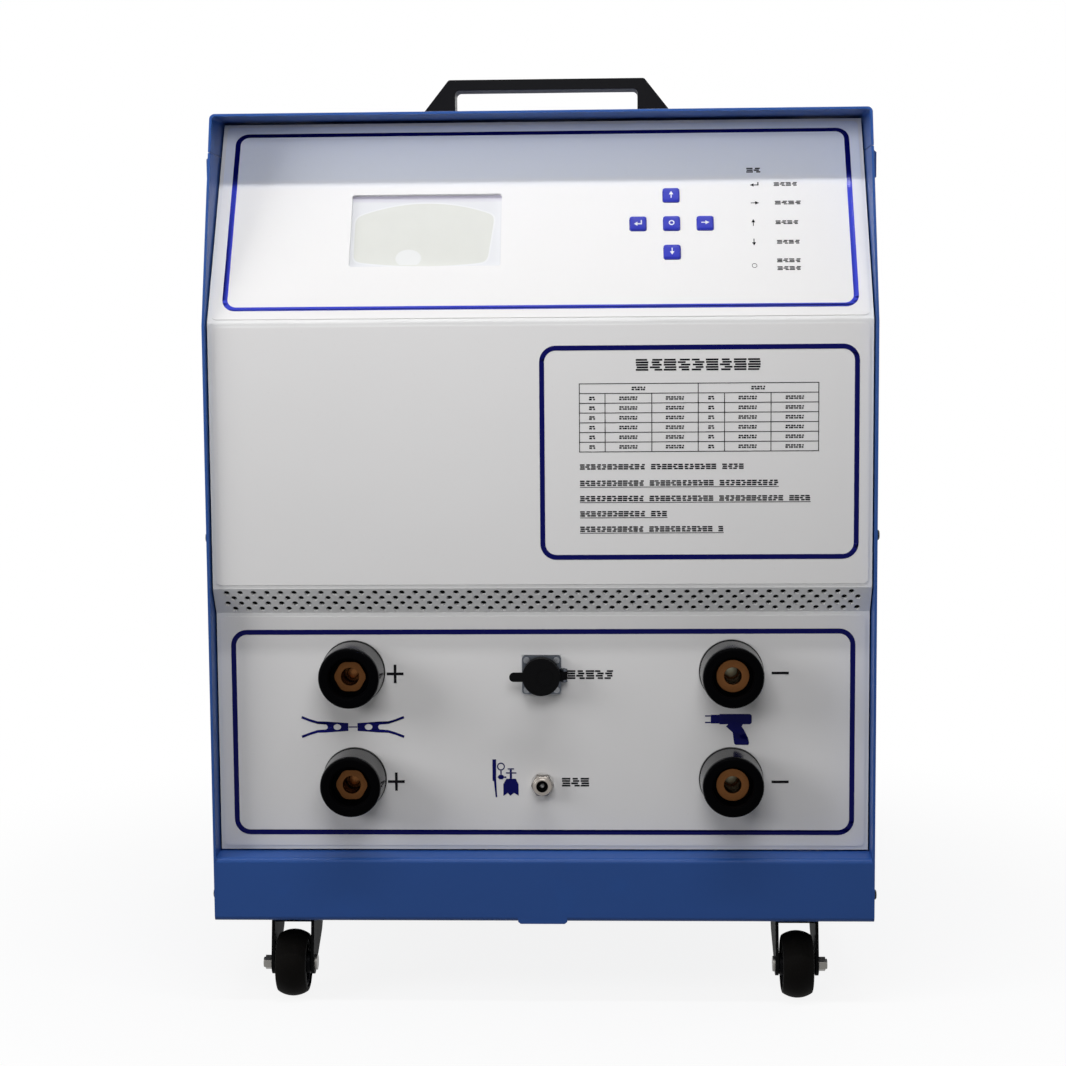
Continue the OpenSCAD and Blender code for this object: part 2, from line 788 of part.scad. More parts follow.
module key_cap(kx, ks) {
    crown_h = 0.5;
    crown_inset = 0.8;
    color("#3b6fd0") on_slope(key_x + kx * key_pitch, key_s + ks * key_pitch) {
        translate([0, 0, -key_floor + key_stem_len]) {
            linear_extrude(key_flange_t) rounded(key_w + 2 * key_flange, key_w + 2 * key_flange, key_r);
            linear_extrude(key_floor - key_stem_len + film_t + key_rise - crown_h) rounded(key_w, key_w, key_r);
            linear_extrude(key_floor - key_stem_len + film_t + key_rise)
                rounded(key_w - 2 * crown_inset, key_w - 2 * crown_inset, key_r - crown_inset);
        }
        translate([0, 0, -key_floor]) cylinder(d = key_stem_d, h = key_stem_len + eps / 2);
    }
}
module enter_key() {
    key_cap(-1, 0);
}
module up_key() {
    key_cap(0, 1);
}
module select_key() {
    key_cap(0, 0);
}
module down_key() {
    key_cap(0, -1);
}
module right_key() {
    key_cap(1, 0);
}

// Weld sockets
module socket_ring() {
    front_r = ring_front_d / 2;
    base_r = ring_base_d / 2;
    mouth_r = ring_mouth_d / 2;
    hole_r = insert_body_d / 2;
    spigot_end = -sheet_t + safe_gap;
    color(black_plastic) rotate_extrude() polygon(concat(
        [[hole_r, spigot_end], [spigot_d / 2, spigot_end], [spigot_d / 2, 0], [base_r, 0], [base_r, ring_foot]],
        arc([front_r - ring_fillet, ring_len - ring_fillet], ring_fillet, 0, 90),
        [[mouth_r + 1, ring_len], [mouth_r, ring_len - 1], [mouth_r, ring_floor], [hole_r, ring_floor]]
    ));
}
module positive_upper_ring() {
    on_lower(-socket_x, socket_upper_h) socket_ring();
}
module positive_lower_ring() {
    on_lower(-socket_x, socket_lower_h) socket_ring();
}
module negative_upper_ring() {
    on_lower(socket_x, socket_upper_h) socket_ring();
}
module negative_lower_ring() {
    on_lower(socket_x, socket_lower_h) socket_ring();
}
module insert_shank() {
    rotate_extrude() polygon([
        [0, -stud_end],
        [insert_stud_d / 2, -stud_end],
        [insert_stud_d / 2, -bar_seat],
        [insert_thread_d / 2, -bar_seat],
        [insert_thread_d / 2, 0],
        [insert_body_d / 2 - slip_gap, 0],
        [insert_body_d / 2 - slip_gap, ring_floor],
        [0, ring_floor]
    ]);
}
module plug_bore(d) {
    translate([0, 0, collar_front - plug_bore_len]) cylinder(d = d, h = plug_bore_len + eps);
}
module positive_inserts() {
    color(copper) for (h = [socket_lower_h, socket_upper_h]) on_lower(-socket_x, h) difference() {
        union() {
            insert_shank();
            translate([0, 0, ring_floor]) hex_prism(insert_flats, collar_t);
        }
        plug_bore(positive_bore_d);
    }
}
module negative_inserts() {
    color(copper) for (h = [socket_lower_h, socket_upper_h]) on_lower(socket_x, h) difference() {
        union() {
            insert_shank();
            translate([0, 0, ring_floor]) cylinder(d = insert_collar_d, h = collar_t);
        }
        plug_bore(negative_bore_d);
    }
}
module socket_nuts() {
    color(steel) at_sockets() {
        difference() {
            union() {
                translate([0, 0, -sheet_t - washer_t]) cylinder(d = washer_d, h = washer_t);
                translate([0, 0, -sheet_t - washer_t - big_nut_h]) hex_prism(big_nut_flats, big_nut_h + eps);
            }
            translate([0, 0, -bar_seat]) cylinder(d = insert_thread_d + 2 * slip_gap, h = bar_seat);
        }
        translate([0, 0, -bar_seat - bar_t - stud_nut_h]) difference() {
            hex_prism(stud_nut_flats, stud_nut_h);
            translate([0, 0, -eps]) cylinder(d = insert_stud_d + 2 * slip_gap, h = stud_nut_h + 2 * eps);
        }
    }
}

// Control socket with a hinged cap
module hinge_bar(h) {
    translate([hinge_x, h / 2, hinge_out]) rotate([90, 0, 0]) children();
}
module control_socket_shell() {
    color(steel) on_lower(0, connector_h) {
        difference() {
            union() {
                linear_extrude(flange_t) rounded(flange_w, flange_w, 2.5);
                cylinder(d = barrel_d, h = barrel_len);
                translate([0, 0, -connector_back]) cylinder(d = connector_hole_d, h = connector_back + eps);
            }
            translate([0, 0, -connector_back - eps]) cylinder(d = contact_d, h = connector_back + barrel_len + 2 * eps);
            at_corners(connector_screw_pitch, connector_screw_pitch) translate([0, 0, -eps])
                cylinder(d = connector_screw_d + 2 * slip_gap, h = flange_t + 2 * eps);
        }
        for (side = [-1, 1]) {
            lug_middle = side * (knuckle_h / 2 + safe_gap + lug_t / 2);
            translate([0, lug_middle, 0]) {
                hinge_bar(lug_t) cylinder(r = hinge_r, h = lug_t);
                translate([0, lug_t / 2, 0]) rotate([90, 0, 0]) linear_extrude(lug_t) polygon([
                    [flange_w / 2 - 2, film_t + safe_gap],
                    [hinge_x, film_t + safe_gap],
                    [hinge_x + hinge_r, hinge_out],
                    [hinge_x, hinge_out + hinge_r],
                    [flange_w / 2 - 2, flange_t]
                ]);
            }
        }
        hinge_bar(knuckle_h + 2 * safe_gap + 2 * lug_t) cylinder(d = hinge_pin_d, h = knuckle_h + 2 * safe_gap + 2 * lug_t);
    }
}
contact_face = 4;
pin_d = 1.6;
pin_circle_d = 12;
pin_count = 6;
pin_h = 3;

module control_socket_contacts() {
    color(black_plastic) on_lower(0, connector_h) {
        translate([0, 0, -connector_back]) cylinder(d = contact_d, h = connector_back + contact_face);
        translate([0, 0, contact_face]) {
            cylinder(d = pin_d, h = pin_h);
            for (i = [0 : pin_count - 1]) rotate([0, 0, i * 360 / pin_count])
                translate([pin_circle_d / 2, 0, 0]) cylinder(d = pin_d, h = pin_h);
        }
    }
}
module control_socket_cap() {
    arm_low = cap_skirt_low + 0.2;
    arm_top = 9.5;
    color(black_plastic) on_lower(0, connector_h) difference() {
        union() {
            difference() {
                translate([0, 0, cap_skirt_low]) cylinder(r = cap_outer_r, h = cap_roof_low + cap_roof_t - cap_skirt_low);
                translate([0, 0, cap_skirt_low - eps])
                    cylinder(r = cap_inner_r, h = cap_roof_low - cap_skirt_low + eps);
            }
            translate([-cap_outer_r - cap_tab_len + cap_tab_w / 2, 0, cap_roof_low]) linear_extrude(cap_roof_t) {
                circle(d = cap_tab_w);
                translate([0, -cap_tab_w / 2]) square([cap_tab_len, cap_tab_w]);
            }
            hinge_bar(knuckle_h) cylinder(r = hinge_r, h = knuckle_h);
            translate([cap_inner_r + slip_gap, -knuckle_h / 2, arm_low])
                cube([hinge_x - cap_inner_r - slip_gap, knuckle_h, arm_top - arm_low]);
        }
        hinge_bar(knuckle_h + 2 * eps) cylinder(d = hinge_pin_d + 2 * run_gap, h = knuckle_h + 2 * eps);
    }
}

// Gas line
module gas_outlet() {
    color("#c9cbc8") on_lower(0, gas_h) {
        difference() {
            union() {
                intersection() {
                    hex_prism(gas_flats, gas_hex_h);
                    rotate_extrude() polygon([
                        [0, 0],
                        [gas_flats, 0],
                        [gas_flats, gas_hex_h - gas_flats / 2],
                        [gas_flats / 2 - 0.4, gas_hex_h],
                        [0, gas_hex_h]
                    ]);
                }
                translate([0, 0, -gas_thread_len]) cylinder(d = gas_thread_d, h = gas_thread_len + eps);
            }
            translate([0, 0, collet_seat]) cylinder(d = collet_d + 2 * slip_gap, h = gas_hex_h);
            translate([0, 0, -gas_thread_len - eps])
                cylinder(d = gas_bore_d - 2 * hose_stop, h = gas_thread_len + collet_seat + 2 * eps);
        }
        translate([0, 0, -sheet_t - gas_nut_h]) difference() {
            hex_prism(gas_flats - 1, gas_nut_h);
            translate([0, 0, -eps]) cylinder(d = gas_thread_d + 2 * slip_gap, h = gas_nut_h + 2 * eps);
        }
    }
}
module gas_collet() {
    color(black_plastic) on_lower(0, gas_h) rotate_extrude() polygon([
        [gas_bore_d / 2, collet_seat],
        [collet_d / 2, collet_seat],
        [collet_d / 2, gas_hex_h + safe_gap],
        [collet_d / 2 + 0.8, gas_hex_h + safe_gap],
        [collet_d / 2 + 0.8, gas_hex_h + collet_out],
        [gas_bore_d / 2, gas_hex_h + collet_out]
    ]);
}
valve_front = sheet_t + gas_nut_h + 3;
valve_back = valve_front + valve_d;

module gas_valve() {
    color("#b59a4c") on_lower(0, gas_h) difference() {
        union() {
            translate([-valve_w / 2, -valve_w / 2, -valve_back]) cube([valve_w, valve_w, valve_d]);
            translate([0, valve_w / 2 - eps, -valve_front - valve_d / 2]) rotate([-90, 0, 0])
                cylinder(d = coil_d, h = coil_len);
        }
        translate([0, 0, -gas_thread_len]) cylinder(d = gas_thread_d + 2 * slip_gap, h = gas_thread_len);
    }
}
module gas_hose() {
    hose_len = body_d - sheet_t - inlet_thread_len - (lower_setback + valve_back);
    color("#2b3f86") on_lower(0, gas_h) translate([0, 0, -valve_back - hose_len])
        tube(hose_d, gas_bore_d, hose_len);
}
module gas_inlet() {
    color("#c9cbc8") on_rear(0, gas_h) difference() {
        union() {
            hex_prism(gas_flats, gas_hex_h);
            cylinder(d = hose_tail_d, h = gas_inlet_out);
            translate([0, 0, -sheet_t - inlet_thread_len]) cylinder(d = gas_thread_d, h = sheet_t + inlet_thread_len + eps);
        }
        translate([0, 0, -sheet_t - inlet_thread_len - eps])
            cylinder(d = hose_tail_d - 4, h = gas_inlet_out + sheet_t + inlet_thread_len + 2 * eps);
    }
}

// Casters
fork_inner = wheel_w / 2 + wheel_gap;
axle_z = wheel_d / 2;
kingpin_head_d = kingpin_d + 6;
kingpin_head_h = 2;

module caster_plate() {
    difference() {
        translate([0, 0, ground_gap - fork_t]) linear_extrude(fork_t) rounded(caster_plate_w, caster_plate_w, 6);
        translate([0, 0, ground_gap - fork_t - eps]) at_corners(caster_bolt_pitch, caster_bolt_pitch)
            cylinder(d = caster_bolt_d + 2 * slip_gap, h = fork_t + 2 * eps);
    }
}
module front_caster_plates() {
    color(steel) for (side = [-1, 1]) translate([side * caster_x, front_caster_y, 0]) {
        caster_plate();
        translate([0, 0, fork_top_z + safe_gap]) cylinder(d = race_d, h = race_h - safe_gap + eps / 2);
        translate([0, 0, fork_top_z - fork_t - safe_gap]) cylinder(d = kingpin_d, h = fork_t + 2 * safe_gap + eps);
        translate([0, 0, fork_top_z - fork_t - safe_gap - kingpin_head_h])
            cylinder(d = kingpin_head_d, h = kingpin_head_h);
    }
}
fork_front = 2;
fork_back = race_d / 2 + 4;
fork_knee_z = fork_top_z - 16;
fork_knee_r = 18;

module fork_leg_line() {
    foot = [-caster_trail + axle_end_r - 0.6, axle_z - 3];
    polygon(concat(
        [[-caster_trail - fork_front, fork_top_z], [fork_back, fork_top_z]],
        bend([fork_back, fork_top_z], [fork_back, fork_knee_z], foot, fork_knee_r, 0),
        [foot, [-caster_trail - axle_end_r, axle_z]]
    ));
    translate([-caster_trail, axle_z]) circle(axle_end_r);
}
module front_fork(side) {
    color("#202224") translate([side * caster_x, front_caster_y, 0]) difference() {
        union() {
            translate([0, 0, fork_top_z - fork_t]) cylinder(d = race_d, h = fork_t);
            translate([-fork_inner - fork_t, -caster_trail + 2, fork_top_z - fork_t])
                cube([2 * fork_inner + 2 * fork_t, caster_trail - 2 + fork_back, fork_t]);
            for (leg = [-1, 1]) translate([leg * (fork_inner + fork_t / 2), 0, 0]) along_x(fork_t) fork_leg_line();
        }
        translate([0, 0, fork_top_z - fork_t - eps]) cylinder(d = kingpin_d + 2 * run_gap, h = fork_t + 2 * eps);
        translate([0, -caster_trail, axle_z]) rotate([0, 90, 0])
            cylinder(d = axle_d + 2 * slip_gap, h = 2 * fork_inner + 4 * fork_t, center = true);
    }
}
module front_left_fork() {
    front_fork(-1);
}
module front_right_fork() {
    front_fork(1);
}
module caster_axle(side) {
    rotate([0, side * 90, 0]) {
        translate([0, 0, -fork_inner - fork_t - axle_head_h]) {
            cylinder(d = axle_d, h = axle_head_h + 2 * (fork_inner + fork_t) + nut_h);
            cylinder(d = axle_head_d, h = axle_head_h);
        }
        translate([0, 0, fork_inner + fork_t]) hex_prism(nut_flats, nut_h - nut_stub);
    }
}
module front_left_axle() {
    color(steel) translate([-caster_x, front_caster_y - caster_trail, axle_z]) caster_axle(-1);
}
module front_right_axle() {
    color(steel) translate([caster_x, front_caster_y - caster_trail, axle_z]) caster_axle(1);
}
shoulder_drop = 5;
crown_r = 20;
crown_half = 33;
hub_r = 9;
web_in = 3.5;
rim_t = 7;

module caster_wheel() {
    half = wheel_w / 2;
    hub_half = half + wheel_gap - safe_gap;
    outer = wheel_d / 2;
    bore = axle_d / 2 + run_gap;
    color(black_plastic) rotate([0, 90, 0]) rotate_extrude() polygon(concat(
        [[bore, -hub_half], [hub_r, -hub_half], [hub_r + 0.5, -half + web_in]],
        [[outer - rim_t - 0.5, -half + web_in], [outer - rim_t, -half + 0.5], [outer - shoulder_drop, -half + 0.5]],
        arc([outer - crown_r, 0], crown_r, -crown_half, crown_half),
        [[outer - shoulder_drop, half - 0.5], [outer - rim_t, half - 0.5], [outer - rim_t - 0.5, half - web_in]],
        [[hub_r + 0.5, half - web_in], [hub_r, hub_half], [bore, hub_half]]
    ));
}
module front_left_wheel() {
    translate([-caster_x, front_caster_y - caster_trail, axle_z]) caster_wheel();
}
module front_right_wheel() {
    translate([caster_x, front_caster_y - caster_trail, axle_z]) caster_wheel();
}
module rear_left_wheel() {
    translate([-caster_x, rear_caster_y, axle_z]) caster_wheel();
}
module rear_right_wheel() {
    translate([caster_x, rear_caster_y, axle_z]) caster_wheel();
}
module rear_caster_brackets() {
    leg_top = ground_gap - fork_t / 2;
    leg_half = caster_bolt_pitch / 2 - caster_nut_r - safe_gap;
    color("#202224") for (side = [-1, 1]) translate([side * caster_x, rear_caster_y, 0]) {
        difference() {
            union() {
                caster_plate();
                for (leg = [-1, 1]) translate([leg * (fork_inner + fork_t / 2), 0, 0]) along_x(fork_t) {
                    polygon([[-leg_half, leg_top], [leg_half, leg_top], [axle_end_r, axle_z], [-axle_end_r, axle_z]]);
                    translate([0, axle_z]) circle(axle_end_r);
                }
            }
            translate([0, 0, axle_z]) rotate([0, 90, 0])
                cylinder(d = axle_d + 2 * slip_gap, h = 2 * fork_inner + 4 * fork_t, center = true);
        }
    }
}
module rear_caster_axles() {
    color(steel) for (side = [-1, 1]) translate([side * caster_x, rear_caster_y, axle_z]) caster_axle(side);
}

// Fan
module fan_frame() {
    hub_z = -sheet_t - fan_depth;
    color(black_plastic) on_rear(0, fan_h) {
        difference() {
            translate([0, 0, hub_z]) linear_extrude(fan_depth) rounded(fan_w, fan_w, 6);
            translate([0, 0, hub_z - eps]) cylinder(d = fan_hole_d, h = fan_depth + 2 * eps);
            translate([0, 0, hub_z - eps]) at_corners(fan_bolt_pitch, fan_bolt_pitch)
                cylinder(d = screw_d + 2 * slip_gap, h = fan_depth + 2 * eps);
        }
        translate([0, 0, hub_z]) difference() {
            union() {
                cylinder(d = fan_hub_d, h = fan_strut_t);
                for (a = [45 : 90 : 315]) rotate([0, 0, a])
                    translate([0, -fan_strut_t, 0]) cube([fan_hole_d / 2 + 1, 2 * fan_strut_t, fan_strut_t]);
            }
            translate([0, 0, -eps]) cylinder(d = fan_shaft_d + 2 * run_gap, h = fan_strut_t + 2 * eps);
        }
    }
}
module fan_rotor() {
    hub_low = -sheet_t - fan_depth + fan_strut_t + safe_gap;
    hub_h = fan_depth - fan_strut_t - 8;
    tip_r = fan_hole_d / 2 - 2;
    blade_len = tip_r - fan_hub_d / 2 + 2;
    color("#2a2c30") on_rear(0, fan_h) {
        translate([0, 0, hub_low]) cylinder(d = fan_hub_d, h = hub_h);
        translate([0, 0, -sheet_t - fan_depth]) cylinder(d = fan_shaft_d, h = fan_strut_t + 2 * safe_gap);
        intersection() {
            translate([0, 0, hub_low]) cylinder(r = tip_r, h = hub_h);
            for (i = [0 : fan_blades - 1]) rotate([0, 0, i * 360 / fan_blades])
                translate([fan_hub_d / 2 - 2 + blade_len / 2, 0, hub_low + hub_h / 2]) rotate([fan_blade_tilt, 0, 0])
                    cube([blade_len, fan_blade_chord, 2], center = true);
        }
    }
}
module fan_guard() {
    ring_step_r = (fan_hole_d / 2 - 8) / guard_rings;
    wire_mid = guard_wire_d / 2;
    color(steel) on_rear(0, fan_h) {
        for (i = [1 : guard_rings]) translate([0, 0, guard_wire_d + wire_mid - guard_bite])
            rotate_extrude() translate([8 + i * ring_step_r - wire_mid, 0]) circle(d = guard_wire_d, $fn = 24);
        for (a = [45 : 90 : 315]) rotate([0, 0, a]) {
            translate([10, 0, wire_mid]) rotate([0, 90, 0])
                cylinder(d = guard_wire_d, h = fan_bolt_pitch / sqrt(2) - 12, $fn = 24);
            translate([fan_bolt_pitch / sqrt(2), 0, 0]) tube(screw_d + 6, screw_d + 2 * slip_gap, guard_wire_d);
        }
    }
}

// Mains breaker and cable gland
toggle_axis = breaker_nose_out - 1;
toggle_slot_w = toggle_w + 2 * safe_gap;
toggle_slot_h = 30;
toggle_slot_d = toggle_pin_d + toggle_r;
toggle_drum_r = toggle_r - 2;

module mains_breaker() {
    color("#d9d9d4") on_rear(rear_fitting_x, breaker_h) difference() {
        union() {
            translate([-breaker_w / 2, -breaker_body_h / 2, -sheet_t - breaker_body_d])
                cube([breaker_w, breaker_body_h, breaker_body_d]);
            translate([-breaker_w / 2, -breaker_nose_h / 2, -sheet_t - eps])
                cube([breaker_w, breaker_nose_h, breaker_nose_out + sheet_t + eps]);
        }
        translate([-toggle_slot_w / 2, -toggle_slot_h / 2, toggle_axis - toggle_slot_d])
            cube([toggle_slot_w, toggle_slot_h, toggle_slot_d + breaker_nose_out]);
        translate([0, 0, toggle_axis - toggle_pin_d]) rotate([0, 90, 0])
            cylinder(d = toggle_pin_d + 2 * run_gap, h = toggle_slot_w + 2 * toggle_pin_len + 2 * safe_gap, center = true);
    }
}
module breaker_toggle() {
    color(black_plastic) on_rear(rear_fitting_x, breaker_h) translate([0, 0, toggle_axis - toggle_pin_d])
        rotate([-toggle_rest, 0, 0]) {
            rotate([0, 90, 0]) {
                cylinder(r = toggle_drum_r, h = toggle_w, center = true);
                cylinder(d = toggle_pin_d, h = toggle_slot_w + 2 * toggle_pin_len, center = true);
            }
            translate([-toggle_w / 2, -3, 0]) cube([toggle_w, 6, toggle_lever]);
        }
}
module cable_gland() {
    dome_r = gland_flats / 2 - 1;
    hex_h = 10;
    color(black_plastic) on_rear(rear_fitting_x, gland_h) difference() {
        union() {
            hex_prism(gland_flats, hex_h);
            rotate_extrude() polygon(concat(
                [[0, hex_h - eps], [dome_r, hex_h - eps], [dome_r, gland_out - 10]],
                arc([dome_r - 10, gland_out - 10], 10, 0, 90),
                [[0, gland_out]]
            ));
            translate([0, 0, -sheet_t - gland_in]) cylinder(d = gland_thread_d, h = sheet_t + gland_in + eps);
            translate([0, 0, -sheet_t - 6]) hex_prism(gland_flats, 6);
        }
        translate([0, 0, -sheet_t - gland_in - eps])
            cylinder(d = gland_bore_d, h = sheet_t + gland_in + gland_out + 2 * eps);
    }
}

// Power section
module transformer_core() {
    window_h_core = core_h - 2 * limb_w;
    color("#6d6f72") translate([transformer_x, transformer_y, floor_z]) {
        translate([0, 0, foot_h]) along_x(core_t) difference() {
            translate([-core_len / 2, 0]) square([core_len, core_h]);
            for (i = [-1, 1]) translate([i * (limb_w + core_window_w) / 2, core_h / 2])
                square([core_window_w, window_h_core], center = true);
        }
        for (i = [-1, 1]) translate([0, i * (core_len / 2 - foot_w), foot_h / 2])
            cube([core_t + 2 * foot_reach, foot_w, foot_h], center = true);
    }
}
module transformer_windings() {
    coil_h = core_h - 2 * limb_w - 2 * winding_gap;
    in_x = core_t + 2 * winding_gap;
    in_y = limb_w + 2 * winding_gap;
    color(copper) for (i = [-1, 0, 1])
        translate([transformer_x, transformer_y + i * (limb_w + core_window_w), floor_z + foot_h + limb_w + winding_gap])
            linear_extrude(coil_h) difference() {
                rounded(in_x + 2 * winding_t, in_y + 2 * winding_t, 12);
                square([in_x, in_y], center = true);
            }
}
fin_count = floor((heatsink_len - fin_t) / fin_pitch) + 1;

module heatsink() {
    color("#b9bcc0") translate([socket_x - bar_t / 2, heatsink_y, floor_z]) linear_extrude(heatsink_h) {
        square([heatsink_base_t, heatsink_len]);
        for (i = [0 : fin_count - 1]) translate([heatsink_base_t - eps / 2, i * fin_pitch]) square([fin_len, fin_t]);
    }
}
module thyristor_modules() {
    spare = (heatsink_len - 3 * thyristor_w) / 4;
    color("#2e3034") for (i = [0 : 2])
        translate([socket_x - bar_t / 2 - thyristor_t, heatsink_y + spare + i * (thyristor_w + spare), floor_z + (heatsink_h - thyristor_h) / 2])
            cube([thyristor_t, thyristor_w, thyristor_h]);
}
module output_busbars() {
    bar_front = lower_setback + bar_seat;
    link_h = (socket_lower_h + socket_upper_h) / 2;
    coil_front = transformer_y - limb_w - core_window_w - limb_w / 2 - winding_gap - winding_t;
    color(copper) for (side = [-1, 1]) {
        strap_end = side < 0 ? coil_front : heatsink_y;
        difference() {
            union() {
                on_lower(side * socket_x, link_h) translate([0, 0, -bar_seat - bar_t]) linear_extrude(bar_t)
                    rounded(bar_w, socket_upper_h - socket_lower_h + bar_w, bar_w / 2 - eps);
                translate([side * socket_x - bar_t / 2, bar_front + bar_t / 2, ground_gap + link_h - bar_w / 2])
                    cube([bar_t, strap_end - bar_front - bar_t / 2, bar_w]);
            }
            for (h = [socket_lower_h, socket_upper_h]) on_lower(side * socket_x, h) translate([0, 0, -bar_seat - bar_t - eps])
                cylinder(d = insert_stud_d + 2 * slip_gap, h = bar_t + 2 * eps);
        }
    }
}
module control_board() {
    color(board_green) on_middle(0, board_middle_h) translate([0, 0, -sheet_t - board_standoff]) {
        translate([0, 0, -board_t]) linear_extrude(board_t) square([board_w, board_h], center = true);
        at_corners(board_w - standoff_d - 4, board_h - standoff_d - 4) cylinder(d = standoff_d, h = board_standoff);
        for (i = [-1 : 1]) translate([i * capacitor_pitch, capacitor_rise, -board_t - capacitor_h])
            cylinder(d = capacitor_d, h = capacitor_h);
        translate([0, -terminal_drop, -board_t - terminal_d / 2])
            cube([terminal_w, terminal_h, terminal_d], center = true);
    }
}

// Screws and bolts
module pan_screw(len) {
    translate([0, 0, -len]) cylinder(d = screw_d, h = len);
    rotate_extrude() polygon(concat(
        [[0, 0], [screw_head_d / 2, 0]],
        arc([screw_head_d / 2 - 1.4, screw_head_h - 1.4], 1.4, 0, 90),
        [[0, screw_head_h]]
    ));
}
module fasteners() {
    color("#26282b") {
        at_side_screws() pan_screw(2 * sheet_t + panel_gap);
        on_lower(0, connector_h) translate([0, 0, flange_t]) at_corners(connector_screw_pitch, connector_screw_pitch) {
            cylinder(d = 5, h = 1.6);
            translate([0, 0, -flange_t - sheet_t]) cylinder(d = connector_screw_d, h = flange_t + sheet_t);
        }
        on_rear(0, fan_h) translate([0, 0, guard_wire_d]) at_corners(fan_bolt_pitch, fan_bolt_pitch)
            pan_screw(guard_wire_d + sheet_t + 12);
        for (side = [-1, 1]) translate([side * handle_screw_x, handle_y, ground_gap + body_h - sheet_t])
            rotate([180, 0, 0]) {
                cylinder(d = screw_head_d, h = screw_head_h);
                translate([0, 0, -sheet_t - handle_foot_h]) cylinder(d = screw_d, h = sheet_t + handle_foot_h);
            }
        at_caster_bolts() {
            translate([0, 0, sheet_t]) hex_prism(caster_nut_flats, caster_head_h);
            translate([0, 0, -fork_t - caster_nut_h]) {
                cylinder(d = caster_bolt_d, h = caster_nut_h + fork_t + sheet_t);
                hex_prism(caster_nut_flats, caster_nut_h);
            }
        }
    }
}

// Every sub-part is drawn around the middle of the part's box
module placed() {
    translate([0, -middle_y, 0]) children();
}

placed() base_pan();
placed() left_side_panel();
placed() right_side_panel();
placed() top_cover();
placed() upper_front_panel();
placed() vent_strip();
placed() lower_front_panel();
placed() rear_panel();
placed() carry_handle();
placed() control_overlay();
placed() middle_overlay();
placed() lower_overlay();
placed() display_window();
placed() display_module();
placed() key_board();
placed() enter_key();
placed() up_key();
placed() select_key();
placed() down_key();
placed() right_key();
placed() positive_upper_ring();
placed() positive_lower_ring();
placed() negative_upper_ring();
placed() negative_lower_ring();
placed() positive_inserts();
placed() negative_inserts();
placed() socket_nuts();
placed() control_socket_shell();
placed() control_socket_contacts();
placed() control_socket_cap();
placed() gas_outlet();
placed() gas_collet();
placed() gas_valve();
placed() gas_hose();
placed() gas_inlet();
placed() front_caster_plates();
placed() front_left_fork();
placed() front_right_fork();
placed() front_left_axle();
placed() front_right_axle();
placed() front_left_wheel();
placed() front_right_wheel();
placed() rear_caster_brackets();
placed() rear_caster_axles();
placed() rear_left_wheel();
placed() rear_right_wheel();
placed() fan_frame();
placed() fan_rotor();
placed() fan_guard();
placed() mains_breaker();
placed() breaker_toggle();
placed() cable_gland();
placed() transformer_core();
placed() transformer_windings();
placed() heatsink();
placed() thyristor_modules();
placed() output_busbars();
placed() control_board();
placed() fasteners();
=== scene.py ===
"""Looks of a stud welding power source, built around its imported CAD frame.

Laid out as a Blender add-on and run as a script. Modelling numbers are in millimetres.
"""
import math

import bmesh
import bpy
from bpy.props import FloatProperty, FloatVectorProperty, IntProperty, PointerProperty
from mathutils import Matrix, Vector


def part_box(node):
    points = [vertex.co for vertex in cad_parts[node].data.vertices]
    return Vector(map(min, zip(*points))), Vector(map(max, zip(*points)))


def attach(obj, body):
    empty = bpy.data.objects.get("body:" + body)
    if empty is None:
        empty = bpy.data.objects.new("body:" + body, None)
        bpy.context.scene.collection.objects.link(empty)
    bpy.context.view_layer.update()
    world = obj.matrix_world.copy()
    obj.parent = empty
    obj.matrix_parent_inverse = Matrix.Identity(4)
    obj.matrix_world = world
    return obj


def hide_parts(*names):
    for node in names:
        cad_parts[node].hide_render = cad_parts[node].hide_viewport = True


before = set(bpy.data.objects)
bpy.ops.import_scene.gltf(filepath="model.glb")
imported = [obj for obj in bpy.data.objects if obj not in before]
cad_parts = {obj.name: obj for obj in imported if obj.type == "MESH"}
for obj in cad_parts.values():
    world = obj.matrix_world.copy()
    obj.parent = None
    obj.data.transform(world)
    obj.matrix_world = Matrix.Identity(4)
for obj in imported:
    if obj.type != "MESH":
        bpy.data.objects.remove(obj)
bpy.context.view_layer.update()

bl_info = {
    "name": "Stud welder looks",
    "version": (1, 0, 0),
    "blender": (4, 5, 0),
    "location": "View3D > Sidebar > Welder",
    "description": "Builds the visible pieces of a stud welding power source around its CAD frame",
    "category": "Object",
}

MM = 0.001
CABINET = "cabinet"
UP = Vector((0, 0, 1))
FINISHES = {}
PLAIN = "_plain"
WHITE = (1, 1, 1, 1)
MERGE_REACH = 0.002
FLAT_ANGLE = 0.4

# Studio: place, target, size and radiance of each lamp, and the soft light from all round
LAMPS = {
    "key_strip": ((0, -0.606, 1.722), (0, -0.23, 0.68), (1.3, 0.06), 42),
    "near_fill": ((0, -1.0, 0.85), (0, -0.2, 0.5), (0.6, 0.4), 3.8),
    "left_fill": ((-1.6, -0.9, 0.9), (-0.2, -0.1, 0.4), (0.8, 0.8), 6.4),
    "right_rim": ((1.7, 0.6, 1.2), (0.25, 0.1, 0.4), (1.0, 0.8), 2.2),
    "back_fill": ((0.6, 3.2, 1.9), (0, 0, 0.4), (2.4, 1.6), 4.2),
}
SOFT_COLOUR = (0.99, 0.99, 1.0, 1)
SOFT_LEVEL = 0.085
SEEN_RAYS = ("Is Camera Ray", "Is Glossy Ray", "Is Transmission Ray")

# Camera of the photograph: place in metres, turns in degrees, lens in millimetres
CAMERA_PLACE = (0.05306, -1.83502, 0.51735)
CAMERA_TURNS = {"Z": 2.147, "X": -5.449, "Y": 0.439}
CAMERA_LENS = 69.53
CAMERA_SENSOR = 36

